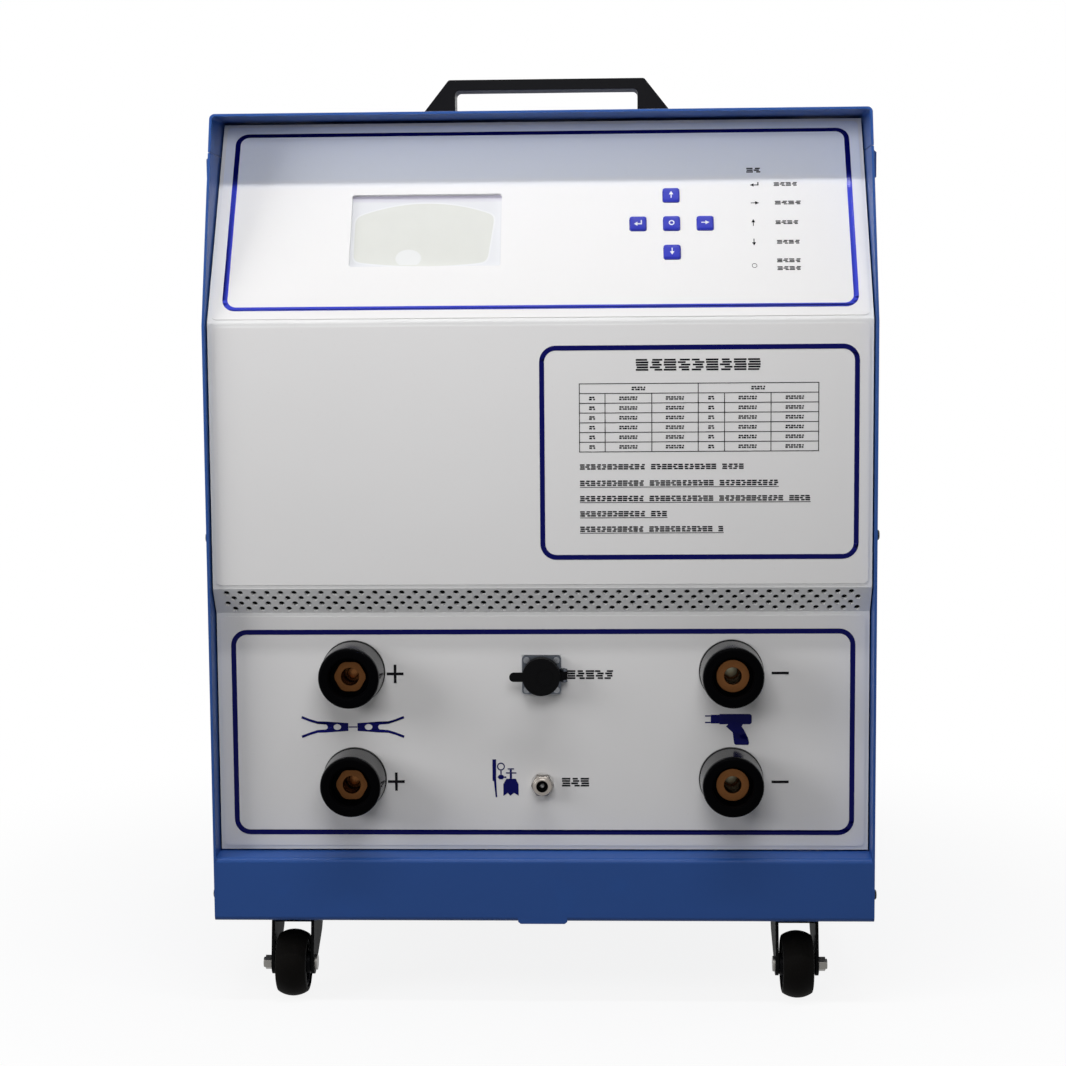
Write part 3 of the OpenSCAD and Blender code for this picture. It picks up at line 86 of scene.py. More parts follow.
# Floor, in metres: its size, where it fades to white, and the share of its glow near the object
FLOOR_SIZE = 40
FLOOR_FADE = (0.28, 0.8)
FLOOR_GLOW = 0.88

# Front planes: sizes of the source in millimetres, and places read from the frame in metres
TAB_DROP = 1.6
KINK_H = 462
SLOPE_SETBACK = 91.3
SLOPE_RISE = 157.5
LEAN = math.atan2(SLOPE_SETBACK, SLOPE_RISE)
BASE_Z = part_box("base_pan")[0][2] + TAB_DROP * MM
MIDDLE_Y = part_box("upper_front_panel")[0][1]
LOWER_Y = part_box("lower_front_panel")[0][1]
REAR_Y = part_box("rear_panel")[1][1]

# Films and print: thicknesses, and where the painted hood shade takes over on the slope
FILM_T = 0.5
INK_T = 0.12
HOOD_SHADE_FROM = 118
HOOD_SHADE_FULL = 132

# Dark sheet behind the perforated strip, painted shade that keeps its holes dark: thickness, and how far it
# stays inside the strip's ends and edges
SHADE_SHEET_T = 1
SHADE_SHEET_END = 4
SHADE_SHEET_EDGE = 1
SHADE_SHEET_CORNER = 2

# Display: its window, the pale field in it and a paler, slightly raised patch low in the field
WINDOW_X = -88
WINDOW_S = 81.7
WINDOW_H = 65.5
FIELD_W = 109
FIELD_TOP = 26
FIELD_TOP_SAG = 12
FIELD_BOTTOM = 31.5
FIELD_BOTTOM_SAG = 4.5
FIELD_RIGHT_IN = 3
FIELD_RIGHT_LEAN = 0.12
FIELD_LEFT_OUT = 1
FIELD_CORNER = 9
PATCH_X = -12.9
PATCH_Y = -24
PATCH_REACH_X = 10
PATCH_REACH_Y = 8
PATCH_FLOOR = (-30.2, -29.4)

# Keys: place of the middle one, pitch, top, sign, and the shrink and share of the rise at each crown step
KEY_X = 101.5
KEY_S = 85.3
KEY_PITCH = 25.8
KEY_TOP = 1.8
KEY_TURNS = {"right": 0, "up": 1, "down": 3}
KEY_SIGN_T = 0.25
KEY_SIGN_SINK = 0.2
KEY_CROWN_STEPS = ((0.8, 0.5), (0.72, 0.32), (0.55, 0.18))

# Weld sockets: their places, the index rib's size, middle and edge, and for each polarity its side,
# the radius of the bore's lining, the contact's radius, height and finish, and the insert's edge
SOCKET_X = 146
SOCKET_LEVELS = {"upper": 192.5, "lower": 108.5}
INDEX_RIB = ((1.0, 0.9, 24), (23.9, 0, 16.5), 0.25)
POLES = {
    "positive": (-1, 7.0, 4.6, 4, "copper", 0.9),
    "negative": (1, 6.6, 5.7, -5, "pin_alloy", 0.5),
}
HEX_CORNER = 3.4
GROOVES = 5
GROOVE_TOP = 18.5
GROOVE_PITCH = 4.4
BORE_MOUTH = (20.5, 19)
TURNING_RATE = 26000.0

# Screws: limits in metres that tell them apart, and their driver recesses in millimetres
SIDE_SCREWS_X = 0.2
CASTER_BOLTS_Z = 0.1
HANDLE_SCREWS_Z = 0.6
RECESS_DEPTH = 0.9
RECESS_STROKE = 0.22
SIDE_RECESS = 2.3
CONNECTOR_RECESS = 1.5
FAN_RECESS = 2.0

# Wheels
TYRE_R = 26
TYRE_CROWN_R = 20
TYRE_CROWN_HALF = 33
CORE_RIBS = 6
CORE_RIB_SIZE = (8.4, 1.8, 6.5)
CORE_RIB_R = 12.4
CORE_RIB_Z = 6.4
CORE_RIB_EDGE = 0.4

# Unit shapes of signs, and lengths of the bars that stand for print
ARROW = [(-1, -0.22), (0.05, -0.22), (0.05, -1), (1, 0), (0.05, 1), (0.05, 0.22), (-1, 0.22)]
ENTER = [
    (-1, -0.3), (-0.15, -1), (-0.15, -0.5), (1, -0.5), (1, 0.95),
    (0.7, 0.95), (0.7, -0.1), (-0.15, -0.1), (-0.15, 0.4),
]
BAR_SHARES = (1.0, 0.74, 0.9, 0.62, 0.95, 0.8)
BAR_SLIDES = (0.0, 1.0, 0.4, 0.8)
BAR_GAP = 0.42
BAR_REACH = 0.9
HEAD_REACH = 5.4
WIDE_REACH = 7
NARROW_REACH = 2.4
NARROW_CELL = 25


def standing_frame(origin, across, up):
    """A frame on a panel: x across it, y up it and z out of it."""
    across = Vector(across)
    up = Vector(up)
    turn = Matrix((across, up, across.cross(up))).transposed().to_4x4()
    return Matrix.Translation(origin) @ turn


def on_slope(x, s, lift=0.0):
    """The frame on the control slope at x across and s up from the kink."""
    up = Vector((0, math.sin(LEAN), math.cos(LEAN)))
    out = Vector((0, -math.cos(LEAN), math.sin(LEAN)))
    foot = Vector((x * MM, MIDDLE_Y, BASE_Z + KINK_H * MM))
    return standing_frame(foot + up * s * MM + out * lift * MM, (1, 0, 0), up)


def on_wall(wall_y, x, h, lift=0.0, facing=1):
    """The frame on an upright panel at x across and h above the plinth's edge, facing front or rear."""
    return standing_frame((x * MM, wall_y - facing * lift * MM, BASE_Z + h * MM), (facing, 0, 0), UP)


def corners(box):
    """The lowest and the highest corner of a box as vectors."""
    return [Vector(corner) for corner in box]


def srgb(red, green, blue):
    """A colour in linear light from 0 to 255 screen values."""
    shares = [value / 255 for value in (red, green, blue)]
    linear = [v / 12.92 if v <= 0.04045 else ((v + 0.055) / 1.055) ** 2.4 for v in shares]
    return (*linear, 1.0)


def colour_property(name, note, shade):
    """A colour property with its default in linear light."""
    return FloatVectorProperty(
        name=name, description=note, subtype="COLOR", size=4, min=0, max=1, default=shade
    )


def length_property(name, note, millimetres):
    """A length property with its default in metres."""
    return FloatProperty(
        name=name, description=note, unit="LENGTH", subtype="DISTANCE", precision=5, min=0,
        default=millimetres * MM,
    )


class WelderFinishes(bpy.types.PropertyGroup):
    """Colours of the welder's finishes."""

    cabinet_blue: colour_property("Cabinet blue", "Powder coat of the sheets", srgb(45, 83, 152))
    front_white: colour_property("Front white", "Powder coat of the front panels", srgb(234, 234, 234))
    film_white: colour_property("Film white", "Ground of the printed films", srgb(238, 237, 237))
    # Painted shade: a cooler, bluer film ground for the top of the control slope, where the hood's shadow
    # falls
    film_hood_shade: colour_property("Film cool", "Ground of the films under the hood", srgb(231, 236, 247))
    # Lit tone of the control frame's print; on the top of the slope it turns to the navy print as painted
    # shade
    control_ink: colour_property("Control print", "Frame of the control film", srgb(62, 72, 200))
    ink_navy: colour_property("Print navy", "Frames and signs on the films", srgb(9, 12, 92))
    ink_black: colour_property("Print black", "Small print and polarity signs", srgb(22, 22, 26))
    key_blue: colour_property("Key blue", "Domed keys", srgb(38, 47, 172))
    moulded_black: colour_property("Moulded black", "Handle and caps", srgb(8, 8, 11))
    weld_copper: colour_property("Copper", "Weld socket inserts", srgb(124, 82, 48))


class WelderSizes(bpy.types.PropertyGroup):
    """Sizes that only the looks use."""

    sheet_edge: length_property("Sheet edge", "Broken edge of the folded sheets", 0.55)
    handle_edge: length_property("Handle edge", "Rounding of the carry handle", 1.1)
    key_crown: length_property("Key crown", "Rise of a key's domed top", 0.3)
    turn_steps: IntProperty(
        name="Turning steps", description="Segments of a turned piece", min=24, max=160, default=72
    )


def math_method(operation, reflected=False):
    """A method that adds a Math node, with its two sides swapped where it is reflected."""

    def method(self, other=0.0):
        first, second = (other, self) if reflected else (self, other)
        return self.nodes.node("ShaderNodeMath", {"operation": operation}, {0: first, 1: second})

    return method


class Wire:
    """A shader value whose arithmetic adds Math nodes."""

    __add__ = math_method("ADD")
    __radd__ = math_method("ADD", True)
    __sub__ = math_method("SUBTRACT")
    __rsub__ = math_method("SUBTRACT", True)
    __mul__ = math_method("MULTIPLY")
    __rmul__ = math_method("MULTIPLY", True)
    __truediv__ = math_method("DIVIDE")
    __pow__ = math_method("POWER")
    __abs__ = math_method("ABSOLUTE")
    sine = math_method("SINE")
    larger = math_method("MAXIMUM")

    def __init__(self, nodes, socket):
        self.nodes = nodes
        self.socket = socket

    def softly_less(self, other, reach):
        """The lesser of two values, rounded off over a reach."""
        return self.nodes.node("ShaderNodeMath", {"operation": "SMOOTH_MIN"}, {0: self, 1: other, 2: reach})


class Nodes:
    """A node tree whose nodes all come from one method."""

    def __init__(self, tree):
        self.tree = tree
        tree.nodes.clear()

    def add(self, kind, settings=None, inputs=None):
        """Adds a node, with its settings first and then its sockets."""
        made = self.tree.nodes.new(kind)
        for key, value in (settings or {}).items():
            setattr(made, key, value)
        self.feed(made, inputs or {})
        return made

    def node(self, kind, settings=None, inputs=None, output=0):
        """Adds a node and returns one of its outputs."""
        return Wire(self, self.add(kind, settings, inputs).outputs[output])

    def feed(self, node, inputs):
        """Sets or links the sockets of a node."""
        for key, value in inputs.items():
            if isinstance(value, Wire):
                self.tree.links.new(value.socket, node.inputs[key])
            else:
                node.inputs[key].default_value = value

    def seen_share(self):
        """1 for what is seen, mirrored or looked through, otherwise 0."""
        rays = self.add("ShaderNodeLightPath").outputs
        camera, glossy, clear = [Wire(self, rays[name]) for name in SEEN_RAYS]
        return camera.larger(glossy).larger(clear)


class Finish(Nodes):
    """A material whose nodes read Object coordinates."""

    def __init__(self, name):
        plain = bpy.data.materials.get(name)
        if plain:
            plain.name = name + PLAIN
        self.material = bpy.data.materials.new(name)
        self.material.use_nodes = True
        super().__init__(self.material.node_tree)
        self.shader = self.add("ShaderNodeBsdfPrincipled")
        self.look = Wire(self, self.shader.outputs[0])
        self.output = self.add("ShaderNodeOutputMaterial", None, {"Surface": self.look})
        FINISHES[name] = self.material

    def set(self, **inputs):
        """Feeds the main shader, with _ in a name for a space."""
        self.feed(self.shader, {key.replace("_", " "): value for key, value in inputs.items()})
        return self

    def place(self):
        return self.node("ShaderNodeTexCoord", output="Object")

    def axes(self, vector):
        """The three parts of a vector."""
        outputs = self.add("ShaderNodeSeparateXYZ", None, {0: vector}).outputs
        return [Wire(self, outputs[axis]) for axis in range(3)]

    def local(self, stand):
        """Coordinates in a frame that stands on the piece."""
        return self.node(
            "ShaderNodeMapping",
            {"vector_type": "TEXTURE"},
            {"Vector": self.place(), "Location": stand.to_translation(), "Rotation": stand.to_euler()},
        )

    def noise(self, scale, detail=2.0, vector=None):
        """Cloudy values from 0 to 1, scale in features per metre."""
        inputs = {"Vector": vector or self.place(), "Scale": scale, "Detail": detail}
        return self.node("ShaderNodeTexNoise", None, inputs, "Fac")

    def mix(self, share, first, second):
        """A colour between two, by a share."""
        return self.node("ShaderNodeMix", {"data_type": "RGBA"}, {0: share, 6: first, 7: second}, 2)

    def band(self, value, low, high):
        """A share that goes from 0 at low to 1 at high."""
        return self.node(
            "ShaderNodeMapRange",
            {"interpolation_type": "SMOOTHSTEP"},
            {"Value": value, "From Min": low, "From Max": high},
        )

    def bump(self, height, strength, depth):
        """Raises the surface by a height, depth in millimetres."""
        bumped = self.node(
            "ShaderNodeBump", None, {"Height": height, "Strength": strength, "Distance": depth * MM}
        )
        return self.set(Normal=bumped)


def shade(colour, factor):
    """A colour made lighter or darker by a factor."""
    return (*(min(1.0, part * factor) for part in colour[:3]), 1.0)


def powder_coat(name, colour, gloss):
    """Semi-gloss powder coat with orange peel, cloudy tone and faint handling marks."""
    finish = Finish(name)
    cloud = finish.noise(7, 4)
    peel = finish.noise(520, 2)
    fine = finish.noise(1900, 1)
    rub = finish.band(finish.noise(34, 6), 0.6, 0.78)
    tone = finish.mix(cloud, shade(colour, 0.92), shade(colour, 1.08))
    finish.set(
        Base_Color=finish.mix(rub * 0.1, tone, shade(colour, 1.4)),
        Roughness=0.28 + 0.1 * cloud + 0.1 * rub,
        Specular_IOR_Level=gloss,
    )
    return finish.bump(peel * 0.7 + fine * 0.3, 0.1, 0.3)


def gloss_film(name, colour, spread, gloss, upper=None):
    """Printed polyester film: glossy, slightly wavy where it is stuck down, a little dusty.

    An upper colour takes over on the top of the control slope: painted shade where the hood's shadow falls.
    """
    finish = Finish(name)
    cloud = finish.noise(5, 3)
    dust = finish.band(finish.noise(420, 3), 0.66, 0.82)
    wave = finish.noise(9, 1)
    tone = finish.mix(cloud, shade(colour, 1 - spread), shade(colour, 1 + spread))
    if upper:
        # Painted shade: on the top of the control slope the colour turns to the upper one, where the hood's
        # shadow falls
        _, rise, _ = finish.axes(finish.local(on_slope(0, 0)))
        tone = finish.mix(finish.band(rise, HOOD_SHADE_FROM * MM, HOOD_SHADE_FULL * MM), tone, upper)
    finish.set(
        Base_Color=finish.mix(dust * 0.05, tone, srgb(120, 116, 112)),
        Roughness=0.05 + 0.03 * cloud + 0.05 * dust,
        Specular_IOR_Level=gloss,
    )
    return finish.bump(wave, 0.1, 4)


def moulded(name, colour, roughness, grain=0.12, gloss=0.35):
    """Moulded plastic with a fine spark-eroded grain."""
    finish = Finish(name)
    cloud = finish.noise(16, 4)
    grit = finish.noise(2400, 2)
    finish.set(
        Base_Color=finish.mix(cloud, shade(colour, 0.8), shade(colour, 1.25)),
        Roughness=roughness - 0.06 + 0.12 * cloud,
        Specular_IOR_Level=gloss,
    )
    return finish.bump(grit, grain, 0.15)


def plated(name, colour, roughness, streak=0.12):
    """Plated metal with cloudy tone and fine drawn streaks."""
    finish = Finish(name)
    cloud = finish.noise(30, 4)
    stretch = finish.node("ShaderNodeMapping", None, {"Vector": finish.place(), "Scale": (60, 900, 900)})
    drawn = finish.noise(1, 3, stretch)
    finish.set(
        Base_Color=finish.mix(cloud, shade(colour, 0.82), shade(colour, 1.12)),
        Metallic=1.0,
        Roughness=roughness + streak * (drawn - 0.5) + 0.08 * cloud,
    )
    return finish.bump(drawn, 0.06, 0.1)


def turned_copper(name, colour):
    """Tarnished copper with turning rings on the socket fronts."""
    finish = Finish(name)
    x, y, z = finish.axes(finish.place())
    across = abs(abs(x) - SOCKET_X * MM)
    high, low = SOCKET_LEVELS.values()
    middle_h = (high + low) / 2
    half_step = (high - low) / 2
    along = abs(abs(z - (BASE_Z + middle_h * MM)) - half_step * MM)
    radius = (across ** 2.0 + along ** 2.0) ** 0.5
    rings = (radius * TURNING_RATE).sine()
    stain = finish.noise(130, 4)
    inside = finish.band(y, *(LOWER_Y - depth * MM for depth in BORE_MOUTH))
    positive = finish.band(x, 0.01, -0.01)
    dull = finish.mix(stain, shade(colour, 0.32), shade(colour, 0.54))
    clean = finish.mix(stain, shade(colour, 0.42), shade(colour, 0.68))
    face = finish.mix(positive, clean, dull)
    bore = finish.mix(stain, shade(colour, 0.3), shade(colour, 0.9))
    finish.set(
        Base_Color=finish.mix(inside, face, bore),
        Metallic=1.0,
        Roughness=0.46 + 0.1 * stain - 0.24 * inside,
    )
    return finish.bump(rings, 0.05, 0.05)


def display_glass(name):
    """Clear pane over a pale display whose field bulges, with a painted highlight round the field, a
    painted shadow at the window's top and a paler raised patch low down.
    """
    finish = Finish(name)
    x, y, _ = finish.axes(finish.local(on_slope(WINDOW_X, WINDOW_S)))
    across = (x / (FIELD_W * MM / 2)) ** 2.0
    upper = FIELD_TOP * MM - across * (FIELD_TOP_SAG * MM) - y
    lower = y + FIELD_BOTTOM * MM - across * (FIELD_BOTTOM_SAG * MM)
    right = (FIELD_W / 2 - FIELD_RIGHT_IN) * MM + y * FIELD_RIGHT_LEAN - x
    left = x + (FIELD_W / 2 + FIELD_LEFT_OUT) * MM
    gap = upper
    for other in (lower, right, left):
        gap = gap.softly_less(other, FIELD_CORNER * MM)
    inside = finish.band(gap, 0.0, 0.5 * MM)
    # Painted highlight: a pale line just outside the field's edge
    rim_highlight = finish.band(gap, -1.2 * MM, -0.7 * MM)
    # A paler patch low in the field, raised a little in the bump
    patch_x = (x - PATCH_X * MM) / (PATCH_REACH_X * MM)
    patch_y = (y - PATCH_Y * MM) / (PATCH_REACH_Y * MM)
    pale_patch = finish.band(patch_x ** 2.0 + patch_y ** 2.0, 1.1, 0.85)
    pale_patch = pale_patch * finish.band(y, *(edge * MM for edge in PATCH_FLOOR))
    # Painted shadow: the margin darkens to grey-violet towards the window's top edge
    shadow = finish.band(y, (WINDOW_H / 2 - 7) * MM, WINDOW_H / 2 * MM)
    margin = finish.mix(shadow, srgb(224, 225, 228), srgb(186, 182, 200))
    cell = finish.noise(60, 2)
    pale = finish.mix(cell, srgb(217, 218, 213), srgb(222, 223, 218))
    framed = finish.mix(rim_highlight * 0.6, margin, srgb(234, 235, 236))
    field = finish.mix(inside, framed, pale)
    finish.set(
        Base_Color=finish.mix(pale_patch * 0.7, field, srgb(234, 235, 236)),
        Roughness=0.2 + 0.04 * cell,
        Specular_IOR_Level=0.03,
    )
    return finish.bump(inside + pale_patch * 0.5, 0.15, 0.4)


def rubber(name, colour):
    """Hard black wheel rubber, dusty on the tread."""
    finish = Finish(name)
    dust = finish.noise(85, 5)
    fine = finish.noise(1500, 2)
    finish.set(
        Base_Color=finish.mix(finish.band(dust, 0.5, 0.9), colour, srgb(24, 21, 20)),
        Roughness=0.62 + 0.2 * dust,
        Specular_IOR_Level=0.05,
    )
    return finish.bump(fine, 0.15, 0.2)


def board(name):
    """Solder mask with lighter tracks and pads."""
    finish = Finish(name)
    cells = finish.node(
        "ShaderNodeTexVoronoi", {"distance": "CHEBYCHEV"}, {"Vector": finish.place(), "Scale": 150}
    )
    tracks = finish.band(cells, 0.12, 0.2)
    finish.set(
        Base_Color=finish.mix(tracks, srgb(150, 150, 130), srgb(24, 84, 44)),
        Roughness=0.4 + 0.1 * finish.noise(40, 2),
    )
    return finish.bump(tracks, 0.2, 0.1)


def laminated(name, colour):
    """Varnished sheet stack of a transformer core."""
    finish = Finish(name)
    _, _, z = finish.axes(finish.place())
    layers = (z * 9000.0).sine()
    stain = finish.noise(22, 4)
    finish.set(
        Base_Color=finish.mix(stain, shade(colour, 0.7), shade(colour, 1.2)),
        Metallic=0.7,
        Roughness=0.45 + 0.15 * stain,
    )
    return finish.bump(layers, 0.2, 0.1)


def deselect():
    """Clears the selection, which holds the CAD nodes after loading."""
    if bpy.context.mode != "OBJECT":
        bpy.ops.object.mode_set(mode="OBJECT")
    bpy.ops.object.select_all(action="DESELECT")


def alone(piece):
    """Selects one piece and makes it active."""
    deselect()
    piece.select_set(True)
    bpy.context.view_layer.objects.active = piece


def primitive(kind, **settings):
    """Adds a primitive mesh and returns its object."""
    deselect()
    getattr(bpy.ops.mesh, f"primitive_{kind}_add")(**settings)
    return bpy.context.active_object


class Bench:
    """An edit-mode session on one piece."""

    def __init__(self, piece):
        self.piece = piece

    def __enter__(self):
        alone(self.piece)
        bpy.ops.object.mode_set(mode="EDIT")
        bpy.ops.mesh.select_mode(type="VERT")
        return self

    def __exit__(self, *fault):
        bpy.ops.object.mode_set(mode="OBJECT")

    def take(self, kind, test):
        """Selects the vertices, edges or faces that pass a test."""
        bpy.ops.mesh.select_mode(type=kind)
        bpy.ops.mesh.select_all(action="DESELECT")
        mesh = bmesh.from_edit_mesh(self.piece.data)
        for part in {"VERT": mesh.verts, "EDGE": mesh.edges, "FACE": mesh.faces}[kind]:
            if test(part):
                part.select_set(True)
        bmesh.update_edit_mesh(self.piece.data)

    def clean(self):
        """Merges doubles and turns all faces outwards."""
        bpy.ops.mesh.select_all(action="SELECT")
        bpy.ops.mesh.remove_doubles(threshold=MERGE_REACH * MM)
        bpy.ops.mesh.normals_make_consistent(inside=False)


def put(piece, stand):
    """Applies a place to a piece, so that its object stays at the origin."""
    piece.matrix_world = stand @ piece.matrix_world
    alone(piece)
    bpy.ops.object.transform_apply(location=True, rotation=True, scale=True)
    return piece


def double(piece, stand):
    """A copy of a modelled piece with its own mesh, at a place."""
    copy = piece.copy()
    copy.data = piece.data.copy()
    bpy.context.collection.objects.link(copy)
    return put(copy, stand)


def drop(piece):
    """Deletes a piece that was only a pattern or a cutter."""
    bpy.data.objects.remove(piece, do_unlink=True)


def joined(pieces):
    """One piece made of several."""
    alone(pieces[0])
    for piece in pieces:
        piece.select_set(True)
    if len(pieces) > 1:
        bpy.ops.object.join()
    return bpy.context.active_object


def coat(piece, finish):
    """Gives a piece its one finish."""
    piece.data.materials.clear()
    piece.data.materials.append(FINISHES[finish])
    return piece


def recoat(piece, finish, test):
    """Gives the faces that pass a test another finish."""
    piece.data.materials.append(FINISHES[finish])
    with Bench(piece) as bench:
        bench.take("FACE", test)
        piece.active_material_index = len(piece.data.materials) - 1
        bpy.ops.object.material_slot_assign()
    return piece


def finished(piece, name, body, slot, nodes=(), crease=32):
    """Names a piece, sets its shading, gives it its slot's finish if it has none, ties it to its body and
    hides its CAD nodes.
    """
    piece.name = name
    piece.data.name = name
    alone(piece)
    bpy.ops.object.shade_smooth_by_angle(angle=math.radians(crease))
    applied(piece, "WEIGHTED_NORMAL", weight=100, keep_sharp=True)
    if not piece.data.materials:
        coat(piece, slot)
    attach(piece, body)
    if nodes:
        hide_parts(*nodes)
    return piece


def applied(piece, kind, **settings):
    """Adds a modifier and applies it."""
    alone(piece)
    modifier = piece.modifiers.new(kind.title(), kind)
    for key, value in settings.items():
        setattr(modifier, key, value)
    bpy.ops.object.modifier_apply(modifier=modifier.name)
    return piece


def cut(piece, cutter):
    """Cuts one piece out of another."""
    applied(piece, "BOOLEAN", operation="DIFFERENCE", solver="EXACT", object=cutter)
    drop(cutter)
    return piece


def copied(node):
    """A copy of a CAD node with merged points and whole flat faces."""
    piece = bpy.data.objects.new(node + "_copy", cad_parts[node].data.copy())
    piece.data.materials.clear()
    bpy.context.collection.objects.link(piece)
    with Bench(piece):
        bpy.ops.mesh.customdata_custom_splitnormals_clear()
        bpy.ops.mesh.select_mode(type="EDGE")
        bpy.ops.mesh.select_all(action="SELECT")
        bpy.ops.mesh.remove_doubles(threshold=MERGE_REACH * MM)
        bpy.ops.mesh.dissolve_limited(angle_limit=math.radians(FLAT_ANGLE))
    return piece


def broken(piece, width, steps=2, sharp=28, keep=None):
    """Bevels the sharp edges of a piece, or those of them to keep, width in millimetres."""
    angle = math.radians(sharp)
    with Bench(piece) as bench:
        bench.take(
            "EDGE",
            lambda edge: len(edge.link_faces) == 2
            and edge.calc_face_angle(0) > angle
            and (keep is None or keep(edge)),
        )
        bpy.ops.mesh.bevel(offset=width * MM, segments=steps, profile=0.5, clamp_overlap=True)
    return piece


def softened(node, width, steps=2, sharp=28):
    """A copy of a CAD node with its sharp edges broken, width in millimetres."""
    return broken(copied(node), width, steps, sharp)


def edged(name, node, body, slot, width, steps=2, sharp=28):
    """A finished piece that is a CAD node with broken edges, width in millimetres."""
    return finished(softened(node, width, steps, sharp), name, body, slot, [node])


def block(size, middle, edge):
    """A block with broken edges, all in millimetres."""
    piece = primitive("cube", size=1)
    with Bench(piece):
        bpy.ops.mesh.select_all(action="SELECT")
        bpy.ops.transform.resize(value=[part * MM for part in size], center_override=(0, 0, 0))
        bpy.ops.transform.translate(value=[part * MM for part in middle])
        bpy.ops.mesh.bevel(offset=edge * MM, segments=2, affect="EDGES")
    return piece


def turned(profile, steps=None, closed=False):
    """A piece turned about z from points of radius and height in millimetres."""
    steps = steps or bpy.context.scene.welder_sizes.turn_steps
    radius, height = profile[0]
    piece = primitive("circle", vertices=steps, radius=radius * MM, fill_type="NOTHING")
    with Bench(piece) as bench:
        bpy.ops.mesh.select_all(action="SELECT")
        bpy.ops.transform.translate(value=(0, 0, height * MM))
        for next_radius, next_height in (*profile[1:], *(profile[:1] if closed else ())):
            rise = (0, 0, (next_height - height) * MM)
            bpy.ops.mesh.extrude_region_move(TRANSFORM_OT_translate={"value": rise})
            scale = next_radius / radius
            bpy.ops.transform.resize(value=(scale, scale, 1), center_override=(0, 0, 0))
            radius, height = next_radius, next_height
        bench.clean()
    return piece


def flat(loops, thickness, finish):
    """A flat print from closed loops of points in millimetres, standing on z = 0."""
    curve = bpy.data.curves.new("print", "CURVE")
    curve.dimensions = "2D"
    curve.fill_mode = "BOTH"
    curve.extrude = thickness / 2
    for loop in loops:
        spline = curve.splines.new("POLY")
        spline.points.add(len(loop) - 1)
        for point, (x, y) in zip(spline.points, loop):
            point.co = (x, y, 0, 1)
        spline.use_cyclic_u = True
    piece = bpy.data.objects.new("print", curve)
    bpy.context.collection.objects.link(piece)
    alone(piece)
    bpy.ops.object.convert(target="MESH")
    piece = bpy.context.active_object
    with Bench(piece) as bench:
        bench.clean()
    piece.matrix_world = Matrix.Scale(MM, 4) @ Matrix.Translation((0, 0, thickness / 2))
    return coat(piece, finish)


def arc(x, y, radius, start, end, steps=8):
    """Points on an arc, with angles in degrees."""
    angles = [math.radians(start + (end - start) * step / steps) for step in range(steps + 1)]
    return [(x + radius * math.cos(a), y + radius * math.sin(a)) for a in angles]


def ring_loop(x, y, radius, steps=40):
    """A full circle of points."""
    return arc(x, y, radius, 0, 360, steps)[:-1]


def box_loop(left, low, right, high, radius=0.0):
    """A rectangle of points, with rounded corners where a radius is given."""
    if radius <= 0:
        return [(left, low), (right, low), (right, high), (left, high)]
    return [
        *arc(right - radius, low + radius, radius, -90, 0),
        *arc(right - radius, high - radius, radius, 0, 90),
        *arc(left + radius, high - radius, radius, 90, 180),
        *arc(left + radius, low + radius, radius, 180, 270),
    ]


def frame_loops(left, low, right, high, lying, standing, radius):
    """Outer and inner loop of a rounded frame, by the strokes of its lying and standing sides."""
    half_x, half_y = standing / 2, lying / 2
    return [
        box_loop(left - half_x, low - half_y, right + half_x, high + half_y, radius + half_y),
        box_loop(left + half_x, low + half_y, right - half_x, high - half_y, radius - half_y),
    ]


def print_row(start, end, y, height, pitch, bars=3, pause=0):
    """A line that stands for print: cells of thin bars of varied length, with pauses between words."""
    count = max(1, round((end - start) / pitch))
    step = (end - start) / count
    thick = height / (bars + BAR_GAP * (bars - 1))
    loops = []
    for cell in range(count):
        if pause and cell % pause == pause - 1:
            continue
        for bar in range(bars):
            share = BAR_SHARES[(cell * 3 + bar * 2 + cell // 4) % len(BAR_SHARES)]
            slide = BAR_SLIDES[(cell + bar * 3) % len(BAR_SLIDES)]
            left = start + (cell + BAR_REACH * (1 - share) * slide) * step
            low = y - height / 2 + bar * thick * (1 + BAR_GAP)
            loops.append(box_loop(left, low, left + BAR_REACH * share * step, low + thick))
    return loops


def plus_loop(x, y, half_w, half_h, half):
    """A plus of points, by the halves of its width, height and stroke."""
    points = [
        (-half_w, -half), (-half, -half), (-half, -half_h), (half, -half_h), (half, -half), (half_w, -half),
        (half_w, half), (half, half), (half, half_h), (-half, half_h), (-half, half), (-half_w, half),
    ]
    return moved(points, x, y)


def mirrored(loop):
    """A loop turned over about the y axis."""
    return [(-x, y) for x, y in reversed(loop)]


def shaped(points, x, y, half_w, half_h, quarters=0):
    """A unit shape turned by quarters, stretched and moved."""
    for _ in range(quarters):
        points = [(-py, px) for px, py in points]
    return [(x + px * half_w, y + py * half_h) for px, py in points]


def moved(loop, x, y):
    """A loop moved in its plane."""
    return [(px + x, py + y) for px, py in loop]


